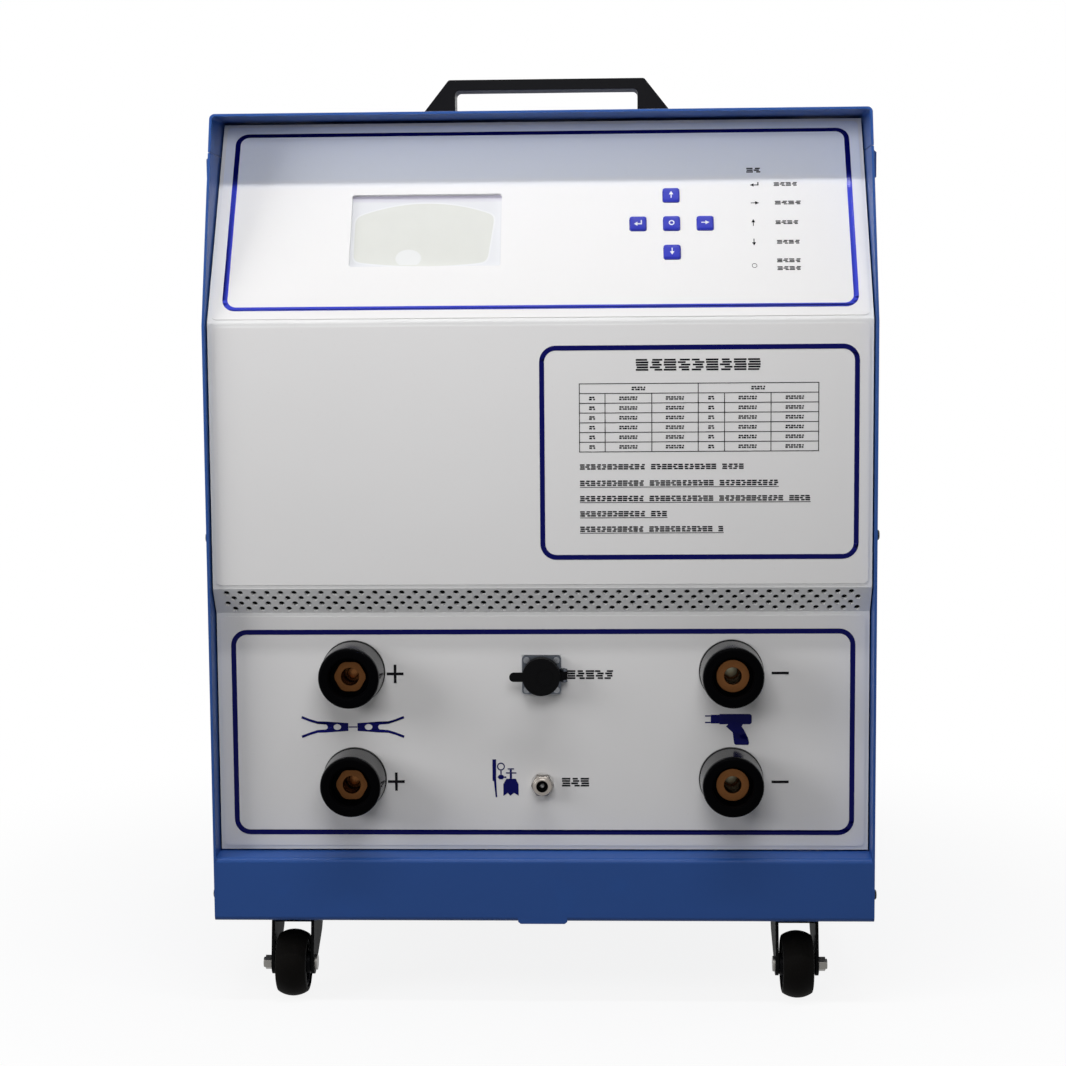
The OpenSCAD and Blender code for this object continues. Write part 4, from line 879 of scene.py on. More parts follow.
class WELDER_OT_finishes(bpy.types.Operator):
    """Makes the finishes and gives every CAD node the one its slot names"""

    bl_idname = "welder.finishes"
    bl_label = "Finishes"

    def execute(self, context):
        colours = context.scene.welder_finishes
        powder_coat("blue_paint", colours.cabinet_blue, 0.16)
        powder_coat("white_paint", colours.front_white, 0.12)
        # The film's ground turns cooler and bluer on the top of the slope: painted shade under the hood
        gloss_film("printed_film", colours.film_white, 0.03, 0.08, colours.film_hood_shade)
        # The control frame's print turns from bright blue to navy on the top of the slope: painted shade
        # where the hood's shadow falls
        gloss_film("control_ink", colours.control_ink, 0.06, 0.07, colours.ink_navy)
        gloss_film("film_navy", colours.ink_navy, 0.08, 0.04)
        gloss_film("film_black", colours.ink_black, 0.08, 0.04)
        display_glass("display_pane")
        board("circuit_board")
        moulded("key_blue", colours.key_blue, 0.3, 0.02, 0.16)
        moulded("key_sign", srgb(226, 228, 238), 0.4, 0.03, 0.1)
        moulded("black_plastic", colours.moulded_black, 0.46, 0.14, 0.07)
        moulded("socket_black", srgb(3, 3, 4), 0.4, 0.05, 0.01)
        moulded("socket_barrel", srgb(8, 8, 10), 0.2, 0.03, 0.36)
        moulded("cap_black", srgb(5, 5, 6), 0.6, 0.1, 0.05)
        turned_copper("copper", colours.weld_copper)
        plated("zinc_steel", srgb(150, 151, 153), 0.4)
        plated("axle_steel", srgb(128, 126, 122), 0.34)
        plated("socket_alloy", srgb(84, 88, 95), 0.42)
        plated("nickel", srgb(144, 138, 132), 0.26, 0.06)
        plated("pin_alloy", srgb(132, 134, 116), 0.32, 0.04)
        plated("screw_steel", srgb(124, 126, 130), 0.26, 0.06)
        moulded("screw_black", srgb(16, 16, 18), 0.35, 0.06, 0.25)
        moulded("caster_black", srgb(7, 7, 8), 0.6, 0.08, 0.05)
        rubber("wheel_rubber", srgb(7, 6, 5))
        moulded("hose_blue", srgb(40, 70, 150), 0.4, 0.06)
        moulded("tube_white", srgb(236, 236, 234), 0.4, 0.04)
        moulded("breaker_grey", srgb(186, 186, 182), 0.45, 0.1, 0.2)
        laminated("core_steel", srgb(120, 120, 124))
        plated("heatsink_alloy", srgb(186, 188, 192), 0.4)
        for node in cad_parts.values():
            for place in node.material_slots:
                place.material = FINISHES[place.material.name.removesuffix(PLAIN)]
        return {"FINISHED"}


class WELDER_OT_stage(bpy.types.Operator):
    """Makes the floor, the studio light, the world and the camera"""

    bl_idname = "welder.stage"
    bl_label = "Stage"

    def execute(self, context):
        scene = context.scene
        scene.view_settings.view_transform = "Standard"
        self.make_floor()
        self.make_world(scene)
        for name, lamp in LAMPS.items():
            self.make_lamp(name, *lamp)
        self.make_camera(scene)
        return {"FINISHED"}

    def make_floor(self):
        """A pale floor that keeps the shadow near the object and fades to white."""
        floor = primitive("grid", x_subdivisions=8, y_subdivisions=8, size=FLOOR_SIZE)
        floor.name = "floor"
        finish = Finish("floor_white")
        seen = finish.seen_share()
        x, y, _ = finish.axes(finish.place())
        far = finish.band((x ** 2.0 + y ** 2.0) ** 0.5, *FLOOR_FADE)
        glow = finish.node("ShaderNodeEmission", None, {"Color": WHITE, "Strength": 1.0})
        grain = finish.noise(40, 3) * 0.03
        pale = finish.mix(grain, (0.86, 0.86, 0.87, 1), (0.7, 0.7, 0.7, 1))
        finish.set(
            Base_Color=finish.mix(seen, (0.25, 0.25, 0.25, 1), pale),
            Roughness=0.9,
            Specular_IOR_Level=0.0,
        )
        share = seen * (FLOOR_GLOW + (1 - FLOOR_GLOW) * far)
        mixed = finish.node("ShaderNodeMixShader", None, {0: share, 1: finish.look, 2: glow})
        finish.feed(finish.output, {"Surface": mixed})
        coat(floor, "floor_white")

    def make_world(self, scene):
        """White for what is seen or mirrored, softer light from all round for the rest."""
        world = bpy.data.worlds.new("studio")
        scene.world = world
        world.use_nodes = True
        sky = Nodes(world.node_tree)
        soft = sky.node("ShaderNodeBackground", None, {"Color": SOFT_COLOUR, "Strength": SOFT_LEVEL})
        white = sky.node("ShaderNodeBackground", None, {"Color": WHITE, "Strength": 1.0})
        mixed = sky.node("ShaderNodeMixShader", None, {0: sky.seen_share(), 1: soft, 2: white})
        sky.add("ShaderNodeOutputWorld", None, {"Surface": mixed})

    def make_lamp(self, name, place, target, size, radiance):
        """A soft rectangular lamp of a given radiance, turned to a target."""
        data = bpy.data.lights.new(name, "AREA")
        data.shape = "RECTANGLE"
        data.size, data.size_y = size
        data.energy = radiance * math.pi * size[0] * size[1]
        lamp = bpy.data.objects.new(name, data)
        lamp.location = place
        lamp.visible_camera = False
        lamp.rotation_euler = (Vector(target) - Vector(place)).to_track_quat("-Z", "Y").to_euler()
        bpy.context.collection.objects.link(lamp)

    def make_camera(self, scene):
        """The camera at the photograph's place, from a fit on the cabinet's edges."""
        data = bpy.data.cameras.new("camera")
        data.lens = CAMERA_LENS
        data.sensor_width = CAMERA_SENSOR
        camera = bpy.data.objects.new("camera", data)
        stand = Matrix.Translation(CAMERA_PLACE)
        for axis, degrees in CAMERA_TURNS.items():
            stand = stand @ Matrix.Rotation(math.radians(degrees), 4, axis)
        camera.matrix_world = stand @ Matrix.Rotation(math.radians(90), 4, "X")
        bpy.context.collection.objects.link(camera)
        scene.camera = camera


class WELDER_OT_sheets(bpy.types.Operator):
    """Breaks the edges of the folded sheets and panels"""

    bl_idname = "welder.sheets"
    bl_label = "Sheets"

    def execute(self, context):
        edge = context.scene.welder_sizes.sheet_edge / MM
        sheets = {
            "plinth_pan": ("base_pan", "blue_paint"),
            "left_side_sheet": ("left_side_panel", "blue_paint"),
            "right_side_sheet": ("right_side_panel", "blue_paint"),
            "hood": ("top_cover", "blue_paint"),
            "folded_front": ("upper_front_panel", "white_paint"),
            "socket_panel": ("lower_front_panel", "white_paint"),
            "rear_sheet": ("rear_panel", "blue_paint"),
        }
        for name, (node, slot) in sheets.items():
            edged(name, node, CABINET, slot, edge)
        # A dark sheet behind the perforated strip, painted shade for its holes
        finished(self.vent_felt(), "vent_felt", CABINET, "black_plastic")
        return {"FINISHED"}

    def vent_felt(self):
        """A dark sheet behind the perforated strip: painted shade that keeps its holes dark."""
        low, high = corners(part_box("vent_strip"))
        rise = Vector((0, MIDDLE_Y - LOWER_Y, high.z - low.z))
        up = rise.normalized()
        back = (high.y - LOWER_Y) * up.z + SHADE_SHEET_T * MM
        out = Vector((0, -up.z, up.y))
        stand = standing_frame(Vector((0, LOWER_Y, low.z)) - out * back, (1, 0, 0), up)
        left, right = low.x / MM + SHADE_SHEET_END, high.x / MM - SHADE_SHEET_END
        loop = box_loop(left, SHADE_SHEET_EDGE, right, rise.length / MM - SHADE_SHEET_EDGE, SHADE_SHEET_CORNER)
        return put(flat([loop], SHADE_SHEET_T, "cap_black"), stand)


class WELDER_OT_handle(bpy.types.Operator):
    """Rounds the carry handle"""

    bl_idname = "welder.handle"
    bl_label = "Carry handle"

    def execute(self, context):
        edge = context.scene.welder_sizes.handle_edge / MM
        edged("carry_grip", "carry_handle", CABINET, "black_plastic", edge, 4, 35)
        return {"FINISHED"}


class WELDER_OT_prints(bpy.types.Operator):
    """Lays the printed frames, table, bars and signs on the films"""

    bl_idname = "welder.prints"
    bl_label = "Prints"

    # Left, low, right and high of each frame, its lying and standing strokes and its corners' radius
    CONTROL_FRAME = (-239.5, 12, 239.5, 171, 3.3, 4.0, 8.5)
    MIDDLE_FRAME = (2, 282.7, 239.5, 441.5, 3.8, 3.8, 10.5)
    LOWER_FRAME = (-239, 66.3, 239, 223.8, 3.9, 3.9, 10.5)
    # Start, end, height, size and pitch of the single rows, and their bars where they aren't three
    LEGEND_HEAD = (160.2, 171.7, 133.7, 4.4, 5.7)
    MIDDLE_HEAD = (73.1, 168, 428.5, 8.8, 10.6, 5)
    LABELS = ((19.5, 55.8, 190.3, 6.8, 7.26, 4), (15.1, 36.9, 105.9, 6.8, 7.27, 4))
    # Height, start and end of each row of the key legend
    LEGEND_ROWS = (
        (120.6, 181, 199.5), (103.5, 181.3, 201.8), (85.6, 181.2, 199), (67.9, 181.6, 199.4),
        (51.3, 181.1, 199.4), (44.4, 181.1, 199.4),
    )
    # The table's column lines, and its top, bottom and number of rows
    TABLE_COLUMNS = (30.4, 49.8, 85.1, 120.1, 139.9, 174.9, 210.7)
    TABLE_ROWS = (414.5, 363.0, 7)
    TABLE_STROKE = 0.6
    # Start of the lines below the table, and the height and end of each and whether it is ruled
    NOTE_START = 30.5
    NOTE_ROWS = (
        (351.6, 154.8, False), (339.2, 181, True), (327.5, 205, True), (315.9, 96.8, True),
        (304.2, 139.4, True),
    )

    PLUS_PLACES = ((-113.6, 191.1), (-113.8, 106.3))
    MINUS_PLACES = ((183.6, 191.3), (183.8, 106.2))

    def execute(self, context):
        self.print_control()
        self.print_middle()
        self.print_lower()
        return {"FINISHED"}

    def lay(self, loops, name, stand, finish="film_navy"):
        """Lays a print on a film."""
        piece = put(flat(loops, INK_T, finish), stand)
        finished(piece, name, CABINET, "printed_film")

    def print_control(self):
        """Frame and key legend of the control film."""
        ground = on_slope(0, 0, FILM_T)
        self.lay(frame_loops(*self.CONTROL_FRAME), "control_frame", ground, "control_ink")
        legend = print_row(*self.LEGEND_HEAD)
        legend.append(shaped(ENTER, 166, 120.6, 3.4, 2.1))
        legend.append(shaped(ARROW, 166, 103.5, 3.2, 1.5))
        legend.append(shaped(ARROW, 164.2, 85.6, 1.5, 3.1, 1))
        legend.append(shaped(ARROW, 164.2, 67.9, 1.5, 3.1, 3))
        legend += [ring_loop(163.9, 46.9, 2.0), ring_loop(163.9, 46.9, 1.6)]
        for s, start, end in self.LEGEND_ROWS:
            legend += print_row(start, end, s, 3.3, 4.6)
        self.lay(legend, "control_legend", ground, "film_black")

    def print_middle(self):
        """Frame, table and lines of the middle film."""
        ground = on_wall(MIDDLE_Y, 0, 0, FILM_T)
        self.lay(frame_loops(*self.MIDDLE_FRAME), "middle_frame", ground)
        columns = self.TABLE_COLUMNS
        top, bottom, rows = self.TABLE_ROWS
        rise = (top - bottom) / rows
        half = self.TABLE_STROKE / 2
        grid = [box_loop(columns[0] - half, bottom - half, columns[-1] + half, top + half)]
        lines = []
        for row in range(rows):
            low = top - (row + 1) * rise
            edges = columns if row else (columns[0], columns[3], columns[6])
            for left, right in zip(edges, edges[1:]):
                grid.append(box_loop(left + half, low + half, right - half, low + rise - half))
                middle = (left + right) / 2
                reach = WIDE_REACH if right - left > NARROW_CELL else NARROW_REACH
                if row == 0:
                    reach = HEAD_REACH
                lines += print_row(middle - reach, middle + reach, low + rise / 2, 2.7, 2.1, 2)
        self.lay(grid, "middle_table", ground, "film_black")
        lines += print_row(*self.MIDDLE_HEAD)
        for h, end, ruled in self.NOTE_ROWS:
            lines += print_row(self.NOTE_START, end, h, 4.1, 4.1, 3, 13)
            if ruled:
                lines.append(box_loop(self.NOTE_START, h - 3.3, end, h - 2.8))
        self.lay(lines, "middle_lines", ground, "film_black")

    def print_lower(self):
        """Frame, polarity signs and pictograms of the lower film."""
        ground = on_wall(LOWER_Y, 0, 0, FILM_T)
        self.lay(frame_loops(*self.LOWER_FRAME), "lower_frame", ground)
        signs = [plus_loop(x, h, 6.5, 7.2, 1.05) for x, h in self.PLUS_PLACES]
        signs += [box_loop(x - 6.6, h - 1, x + 6.6, h + 1) for x, h in self.MINUS_PLACES]
        for label in self.LABELS:
            signs += print_row(*label)
        self.lay(signs, "lower_signs", ground, "film_black")
        self.lay(self.clamp_loops(-147.1, 149.4), "clamp_sign", ground)
        self.lay(self.gun_loops(), "gun_sign", ground)
        self.lay(self.bottle_loops(), "gas_sign", ground)

    def clamp_loops(self, x, y):
        """Two spring clamps nose to nose with a wire between them."""
        upper = [
            (3.6, 3.1), (20.4, 4.3), (27.6, 4.5), (33.6, 6.3), (39.6, 8.7), (40.2, 6.8),
            (33.6, 4.3), (27.6, 2.4), (21.0, 1.9), (20.0, 1.1), (19.6, 0.0),
        ]
        jaw = [*upper, *((px, -py) for px, py in reversed(upper[:-1]))]
        eye = shaped(ring_loop(0, 0, 1, 24), 12.2, 0, 3.0, 2.3)
        half = [moved(loop, x, y) for loop in (jaw, eye)]
        other = [moved(mirrored(loop), x, y) for loop in (jaw, eye)]
        wire = moved(box_loop(-3.4, -0.45, 3.4, 0.45), x, y)
        return [*half, *other, wire]

    def gun_loops(self):
        """A stud gun: barrel with two prongs and a raked grip."""
        body = [
            (130.3, 152.0), (137, 152.0), (137, 151.4), (143.8, 151.4), (142.0, 149.7),
            (147.2, 144.9), (147.7, 140.3), (148.3, 136.3), (149.6, 135.2), (159.2, 135.2),
            (159.8, 136.9), (158.9, 140.9), (156.4, 146.0), (154.1, 149.7), (155, 151.4),
            (160.6, 151.4), (161.8, 152.6), (161.8, 158.2), (160.6, 159.4), (137, 159.4),
            (137, 158.8), (130.3, 158.8),
        ]
        prongs = [box_loop(125.9, h - 0.5, 130.2, h + 0.5) for h in (152.8, 157.9)]
        return [body, *prongs]

    def bottle_loops(self):
        """A gas bottle's shoulder with valve, gauge and hose."""
        bottle = [
            (-28, 108.6), (-20.6, 108.6), (-20, 107), (-18.6, 104.2), (-18.6, 95.2), (-22.1, 97.4),
            (-25.2, 95.2), (-27, 97.4), (-30.5, 95), (-30.5, 104.2), (-28.9, 107),
        ]
        valve = shaped(ring_loop(0, 0, 1, 6), -32.2, 109.9, 2.7, 2.0)
        wheel = [box_loop(-27, 115.9, -22.1, 116.8), box_loop(-28.3, 112.7, -20.2, 113.6)]
        stems = [box_loop(-25.4, 108.7, -23.7, 112.6), box_loop(-25.4, 113.7, -23.7, 115.8)]
        gauge = [ring_loop(-32.2, 118.2, 3.1), ring_loop(-32.2, 118.2, 2.2)]
        links = [box_loop(-32.7, 111.7, -31.7, 115.0), box_loop(-29.6, 109.2, -28.1, 110.4)]
        hose = [
            (-38.8, 107), (-37.8, 106.7), (-36.5, 94), (-35.3, 94), (-36, 107), (-35.9, 123.9),
            (-38.8, 123.9),
        ]
        return [bottle, valve, *wheel, *stems, *gauge, *links, hose]


class WELDER_OT_display(bpy.types.Operator):
    """Makes the display's pane with broken edges"""

    bl_idname = "welder.display"
    bl_label = "Display"

    def execute(self, context):
        edged("display_glass", "display_window", CABINET, "display_pane", 0.35)
        return {"FINISHED"}


class WELDER_OT_keys(bpy.types.Operator):
    """Makes the domed keys and their signs"""

    bl_idname = "welder.keys"
    bl_label = "Keys"

    def execute(self, context):
        crown = context.scene.welder_sizes.key_crown
        places = {
            "enter": (-1, 0), "up": (0, 1), "select": (0, 0), "down": (0, -1), "right": (1, 0)
        }
        for key, (column, row) in places.items():
            stand = on_slope(KEY_X + column * KEY_PITCH, KEY_S + row * KEY_PITCH)
            body = key + "_key_body"
            cap = self.domed_cap(key + "_key", stand, crown)
            finished(cap, key + "_keycap", body, "key_blue", [key + "_key"], 50)
            sign = flat(self.sign_loops(key), KEY_SIGN_T, "key_sign")
            put(sign, stand @ Matrix.Translation((0, 0, KEY_TOP * MM + crown - KEY_SIGN_SINK * MM)))
            finished(sign, key + "_keysign", body, "key_blue")
        return {"FINISHED"}

    def domed_cap(self, node, stand, crown):
        """The CAD key with rounded edges and a crowned top."""
        cap = softened(node, 0.4, 3)
        out = stand.to_3x3() @ UP
        top = max((stand.inverted() @ vertex.co).z for vertex in cap.data.vertices)
        with Bench(cap) as bench:
            bench.take(
                "FACE",
                lambda face: face.normal.dot(out) > 0.999
                and (stand.inverted() @ face.calc_center_median()).z > top - 0.05 * MM,
            )
            centre = stand @ Vector((0, 0, top))
            for shrink, share in KEY_CROWN_STEPS:
                step = {"value": out * crown * share}
                bpy.ops.mesh.extrude_region_move(TRANSFORM_OT_translate=step)
                bpy.ops.transform.resize(value=(shrink,) * 3, center_override=centre)
        return cap

    def sign_loops(self, key):
        """The white sign on a key."""
        if key == "select":
            return [ring_loop(0, 0, 2.2), ring_loop(0, 0, 1.35)]
        if key == "enter":
            return [shaped(ENTER, 0, 0, 3.0, 2.6)]
        return [shaped(ARROW, 0, 0, *((3.0, 1.7) if key == "right" else (1.7, 3.0)), KEY_TURNS[key])]


class WELDER_OT_sockets(bpy.types.Operator):
    """Makes the weld sockets: moulded rings and copper inserts"""

    bl_idname = "welder.sockets"
    bl_label = "Weld sockets"

    def execute(self, context):
        self.make_collars()
        for side, pole in POLES.items():
            self.make_contacts(side, *pole)
        return {"FINISHED"}

    def make_collars(self):
        """The four moulded rings, with an index rib on the positive ones."""
        pattern = self.ring_pattern()
        for side, (sign, *_) in POLES.items():
            for level, h in SOCKET_LEVELS.items():
                stand = on_wall(LOWER_Y, sign * SOCKET_X, h)
                ring = double(pattern, stand)
                if side == "positive":
                    rib = put(block(*INDEX_RIB), stand)
                    ring = joined([ring, coat(rib, "socket_barrel")])
                name = f"{side}_{level}"
                finished(ring, name + "_collar", CABINET, "black_plastic", [name + "_ring"])
        drop(pattern)

    def make_contacts(self, side, sign, lining, radius, top, finish, edge):
        """The inserts of one polarity with what is in their bores."""
        insert = copied(side + "_inserts")
        if side == "positive":
            broken(insert, HEX_CORNER, 6, 50, lambda line: abs(self.lie(line).y) > 0.99)
        parts = [coat(broken(insert, edge, 3), "copper")]
        for h in SOCKET_LEVELS.values():
            stand = on_wall(LOWER_Y, sign * SOCKET_X, h)
            parts.append(self.bore_lining(stand, lining))
            parts.append(self.bore_disc(stand, radius, top, finish))
        finished(joined(parts), side + "_contacts", CABINET, "copper", [side + "_inserts"])

    def lie(self, edge):
        """The direction of an edge."""
        return (edge.verts[1].co - edge.verts[0].co).normalized()

    def ring_pattern(self):
        """The moulded ring, turned about z with its foot on the panel."""
        profile = [
            (24.75, 0), (24.75, 2.6), (24.45, 3.0), (24.3, 3.4), (23.55, 29.0),
            (23.4, 30.4), (22.9, 31.7), (22.0, 32.6), (20.9, 33.0), (17.0, 33.0),
            (16.2, 32.75), (15.65, 32.1), (15.5, 31.2), (15.5, 19.9), (15.1, 19.5), (11.0, 19.5),
            (11.0, 0),
        ]
        ring = coat(turned(profile, 96, closed=True), "socket_black")
        wall = 23 * MM
        return recoat(
            ring,
            "socket_barrel",
            lambda face: face.calc_center_median().xy.length > wall and face.normal.z < 0.5,
        )

    def bore_lining(self, stand, radius):
        """Turned grooves in a socket's bore."""
        inner, wall, outer = radius - 0.35, radius - 0.05, radius + 0.1
        profile = [(outer, 20.5), (wall, 20.2)]
        for step in range(GROOVES):
            z = GROOVE_TOP - step * GROOVE_PITCH
            profile += [(wall, z), (inner, z - 0.6), (inner, z - 1.8), (wall, z - 2.4)]
        profile += [(wall, -7.4), (outer, -7.4)]
        return coat(put(turned(profile, 48, closed=True), stand), "copper")

    def bore_disc(self, stand, radius, top, finish):
        """The domed contact in a socket's bore."""
        profile = [
            (radius, -7.8), (radius, top - 1.2), (radius - 0.7, top - 0.4), (radius - 2.1, top - 0.2),
            (0.0, top),
        ]
        return coat(put(turned(profile, 48), stand), finish)


class WELDER_OT_connector(bpy.types.Operator):
    """Makes the control socket's flange and cap"""

    bl_idname = "welder.connector"
    bl_label = "Control socket"

    def execute(self, context):
        edged("connector_shell", "control_socket_shell", CABINET, "socket_alloy", 0.4)
        low, high = corners(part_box("control_socket_shell"))
        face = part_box("control_socket_cap")[0][1]
        stand = standing_frame(((low.x + high.x) / 2, face, (low.z + high.z) / 2), (1, 0, 0), UP)
        rim = put(turned([(5.6, -0.4), (5.9, 0.2), (6.7, 0.2), (7.0, -0.4)], closed=True), stand)
        cap = coat(joined([softened("control_socket_cap", 0.6, 3), rim]), "cap_black")
        finished(cap, "connector_cap", "socket_cap_body", "black_plastic", ["control_socket_cap"])
        return {"FINISHED"}


class WELDER_OT_gas(bpy.types.Operator):
    """Makes the gas outlet and inlet"""

    bl_idname = "welder.gas"
    bl_label = "Gas fittings"

    LIP = [(4.35, 7.0), (4.35, 9.3), (4.6, 9.6), (5.6, 9.5), (6.3, 9.0), (6.3, 7.0)]
    COLLET = [
        (2.2, 3.2), (2.2, 6.4), (3.1, 6.8), (3.1, 10.0), (3.4, 10.4), (3.9, 10.4), (4.2, 10.0), (4.2, 3.2)
    ]
    CORE = [(2.3, 3.4), (2.3, 5.0), (1.6, 6.2), (1.2, 6.8), (0.0, 7.0)]
    BARBS = [
        (3.4, 12), (5.2, 12), (4.6, 17.5), (5.2, 18), (4.6, 23.5), (5.2, 24), (4.3, 29.6), (3.4, 29.6)
    ]

    def execute(self, context):
        low, high = corners(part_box("gas_collet"))
        middle = (low + high) / 2
        height = (middle.z - BASE_Z) / MM
        front = on_wall(LOWER_Y, middle.x / MM, height)
        nut = joined([softened("gas_outlet", 0.5), put(turned(self.LIP, closed=True), front)])
        finished(nut, "gas_nut", CABINET, "nickel", ["gas_outlet"])
        ring = coat(put(turned(self.COLLET, closed=True), front), "socket_black")
        core = coat(put(turned(self.CORE), front), "tube_white")
        finished(joined([ring, core]), "gas_release_ring", CABINET, "black_plastic", ["gas_collet"])
        rear = on_wall(REAR_Y, middle.x / MM, height, facing=-1)
        barbs = put(turned(self.BARBS, closed=True), rear)
        tail = joined([softened("gas_inlet", 0.5), barbs])
        finished(tail, "gas_tail", CABINET, "nickel", ["gas_inlet"])
        return {"FINISHED"}


class WELDER_OT_casters(bpy.types.Operator):
    """Makes the casters: forks, wheels, axles and brackets"""

    bl_idname = "welder.casters"
    bl_label = "Casters"

    CORE = [
        (19.2, 10.6), (17.0, 10.6), (16.2, 9.8), (16.2, 3.4), (9.6, 3.4), (8.6, 4.4), (8.4, 13.2),
        (7.8, 14.0), (4.1, 14.0),
    ]

    def execute(self, context):
        for side in ("left", "right"):
            body = side + "_fork_body"
            edged(f"{side}_fork_sheet", f"front_{side}_fork", body, "caster_black", 0.7, 3)
            axle = coat(softened(f"front_{side}_axle", 0.4), "axle_steel")
            finished(axle, f"{side}_axle_bolt", body, "zinc_steel", [f"front_{side}_axle"])
        for node, slot in (
            ("rear_caster_brackets", "caster_black"),
            ("rear_caster_axles", "zinc_steel"),
            ("front_caster_plates", "zinc_steel"),
        ):
            edged(node + "_made", node, CABINET, slot, 0.5)
        tyre, core = self.wheel_pattern()
        for end in ("front", "rear"):
            for side in ("left", "right"):
                node = f"{end}_{side}_wheel"
                low, high = corners(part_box(node))
                stand = Matrix.Translation((low + high) / 2) @ Matrix.Rotation(math.pi / 2, 4, "Y")
                wheel = joined([double(tyre, stand), double(core, stand)])
                finished(wheel, node + "_made", node + "_body", "wheel_rubber", [node])
        drop(tyre)
        drop(core)
        return {"FINISHED"}

    def wheel_pattern(self):
        """A tyre and its ribbed core, turned about z."""
        crown = [(x - TYRE_CROWN_R + TYRE_R, z) for x, z in arc(0, 0, TYRE_CROWN_R, 0, TYRE_CROWN_HALF, 8)]
        half = [*crown[1:], (22.2, 11.6), (21, 12.0), (19.4, 12.0), (19.0, 11.4)]
        lower = [(r, -z) for r, z in reversed(half)]
        tyre = coat(turned([crown[0], *half, *lower], 80, closed=True), "wheel_rubber")
        below = [(r, -z) for r, z in reversed(self.CORE)]
        core = coat(turned([*self.CORE, *below], 64, closed=True), "black_plastic")
        ribs = []
        for step in range(CORE_RIBS):
            turn = Matrix.Rotation(step * math.tau / CORE_RIBS, 4, "Z")
            for face in (1, -1):
                rib = block(CORE_RIB_SIZE, (CORE_RIB_R, 0, face * CORE_RIB_Z), CORE_RIB_EDGE)
                ribs.append(coat(put(rib, turn), "black_plastic"))
        return tyre, joined([core, *ribs])


class WELDER_OT_rear(bpy.types.Operator):
    """Makes the fan, the breaker and the gland of the rear panel"""

    bl_idname = "welder.rear"
    bl_label = "Rear fittings"

    def execute(self, context):
        for name, node, body, slot, edge in (
            ("fan_housing", "fan_frame", CABINET, "black_plastic", 0.8),
            ("fan_blades", "fan_rotor", "rotor_body", "black_plastic", 0.35),
            ("breaker_case", "mains_breaker", CABINET, "breaker_grey", 0.8),
            ("breaker_lever", "breaker_toggle", "toggle_body", "black_plastic", 0.8),
            ("gland_nut", "cable_gland", CABINET, "black_plastic", 0.7),
        ):
            edged(name, node, body, slot, edge)
        low, high = corners(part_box("mains_breaker"))
        middle = (low + high) / 2
        face = standing_frame((middle.x, high.y, middle.z), (-1, 0, 0), UP)
        signs = [box_loop(-0.5, 17, 0.5, 21), ring_loop(0, -19, 2.1), ring_loop(0, -19, 1.3)]
        marks = flat(signs, 0.15, "black_plastic")
        finished(put(marks, face), "breaker_marks", CABINET, "breaker_grey")
        return {"FINISHED"}


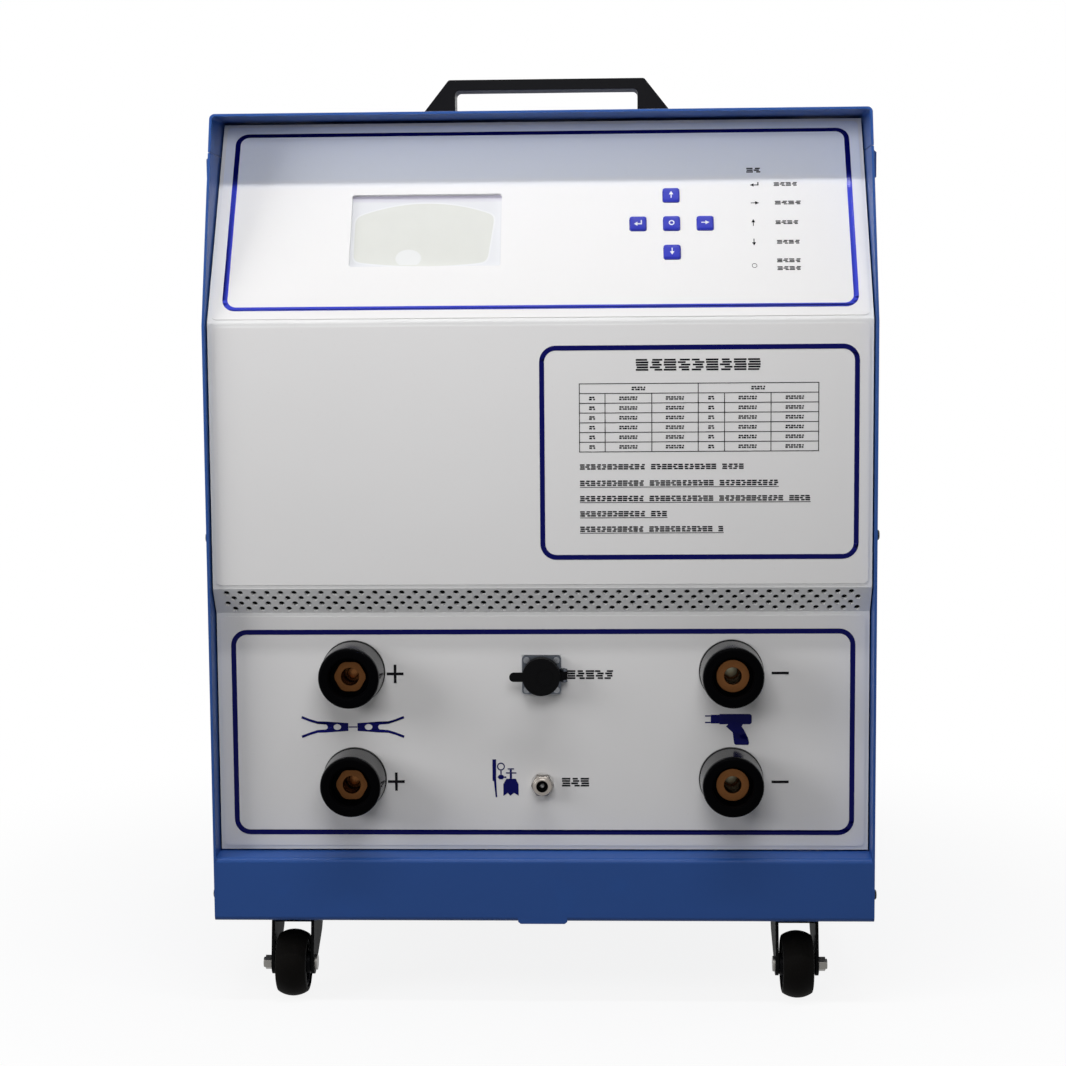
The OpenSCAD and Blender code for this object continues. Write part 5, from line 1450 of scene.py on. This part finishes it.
class WELDER_OT_screws(bpy.types.Operator):
    """Makes the screws with their driver recesses"""

    bl_idname = "welder.screws"
    bl_label = "Screws"

    def execute(self, context):
        alone(softened("fasteners", 0.45))
        bpy.ops.mesh.separate(type="LOOSE")
        screws = list(context.selected_objects)
        for screw in screws:
            points = [vertex.co for vertex in screw.data.vertices]
            low = Vector([min(point[axis] for point in points) for axis in range(3)])
            high = Vector([max(point[axis] for point in points) for axis in range(3)])
            middle = (low + high) / 2
            if abs(middle.x) > SIDE_SCREWS_X:
                out = math.copysign(1, middle.x)
                tip = Vector((high.x if out > 0 else low.x, middle.y, middle.z))
                self.recess(screw, standing_frame(tip, (0, out, 0), UP), SIDE_RECESS, "screw_black")
            elif middle.z < CASTER_BOLTS_Z or middle.z > HANDLE_SCREWS_Z:
                coat(screw, "zinc_steel")
            elif middle.y < 0:
                stand = standing_frame((middle.x, low.y, middle.z), (1, 0, 0), UP)
                self.recess(screw, stand, CONNECTOR_RECESS, "screw_steel")
            else:
                stand = standing_frame((middle.x, high.y, middle.z), (-1, 0, 0), UP)
                self.recess(screw, stand, FAN_RECESS, "screw_black")
        finished(joined(screws), "screw_set", CABINET, "caster_black", ["fasteners"])
        return {"FINISHED"}

    def recess(self, screw, stand, reach, finish):
        """Cuts a cross for the driver into a screw's head and gives the screw its finish."""
        plus = plus_loop(0, 0, reach, reach, reach * RECESS_STROKE)
        cross = flat([plus], 2 * RECESS_DEPTH, finish)
        cut(screw, put(cross, stand @ Matrix.Translation((0, 0, -RECESS_DEPTH * MM))))
        coat(screw, finish)


class WELDER_PT_panel(bpy.types.Panel):
    """Sidebar list of the welder's pieces"""

    bl_idname = "WELDER_PT_panel"
    bl_label = "Stud welder"
    bl_space_type = "VIEW_3D"
    bl_region_type = "UI"
    bl_category = "Welder"

    def draw(self, context):
        for group in (context.scene.welder_finishes, context.scene.welder_sizes):
            for key in group.__annotations__:
                self.layout.prop(group, key)
        for operator in OPERATORS:
            self.layout.operator(operator.bl_idname)


OPERATORS = (
    WELDER_OT_finishes,
    WELDER_OT_stage,
    WELDER_OT_sheets,
    WELDER_OT_handle,
    WELDER_OT_prints,
    WELDER_OT_display,
    WELDER_OT_keys,
    WELDER_OT_sockets,
    WELDER_OT_connector,
    WELDER_OT_gas,
    WELDER_OT_casters,
    WELDER_OT_rear,
    WELDER_OT_screws,
)
CLASSES = (WelderFinishes, WelderSizes, *OPERATORS, WELDER_PT_panel)


def register():
    """Registers the classes and their settings."""
    for kind in CLASSES:
        bpy.utils.register_class(kind)
    bpy.types.Scene.welder_finishes = PointerProperty(type=WelderFinishes)
    bpy.types.Scene.welder_sizes = PointerProperty(type=WelderSizes)


def unregister():
    """Takes the classes and their settings away."""
    del bpy.types.Scene.welder_sizes
    del bpy.types.Scene.welder_finishes
    for kind in reversed(CLASSES):
        bpy.utils.unregister_class(kind)


def main():
    """Builds every piece in order."""
    register()
    for operator in OPERATORS:
        family, action = operator.bl_idname.split(".")
        getattr(getattr(bpy.ops, family), action)()


if __name__ == "__main__":
    main()
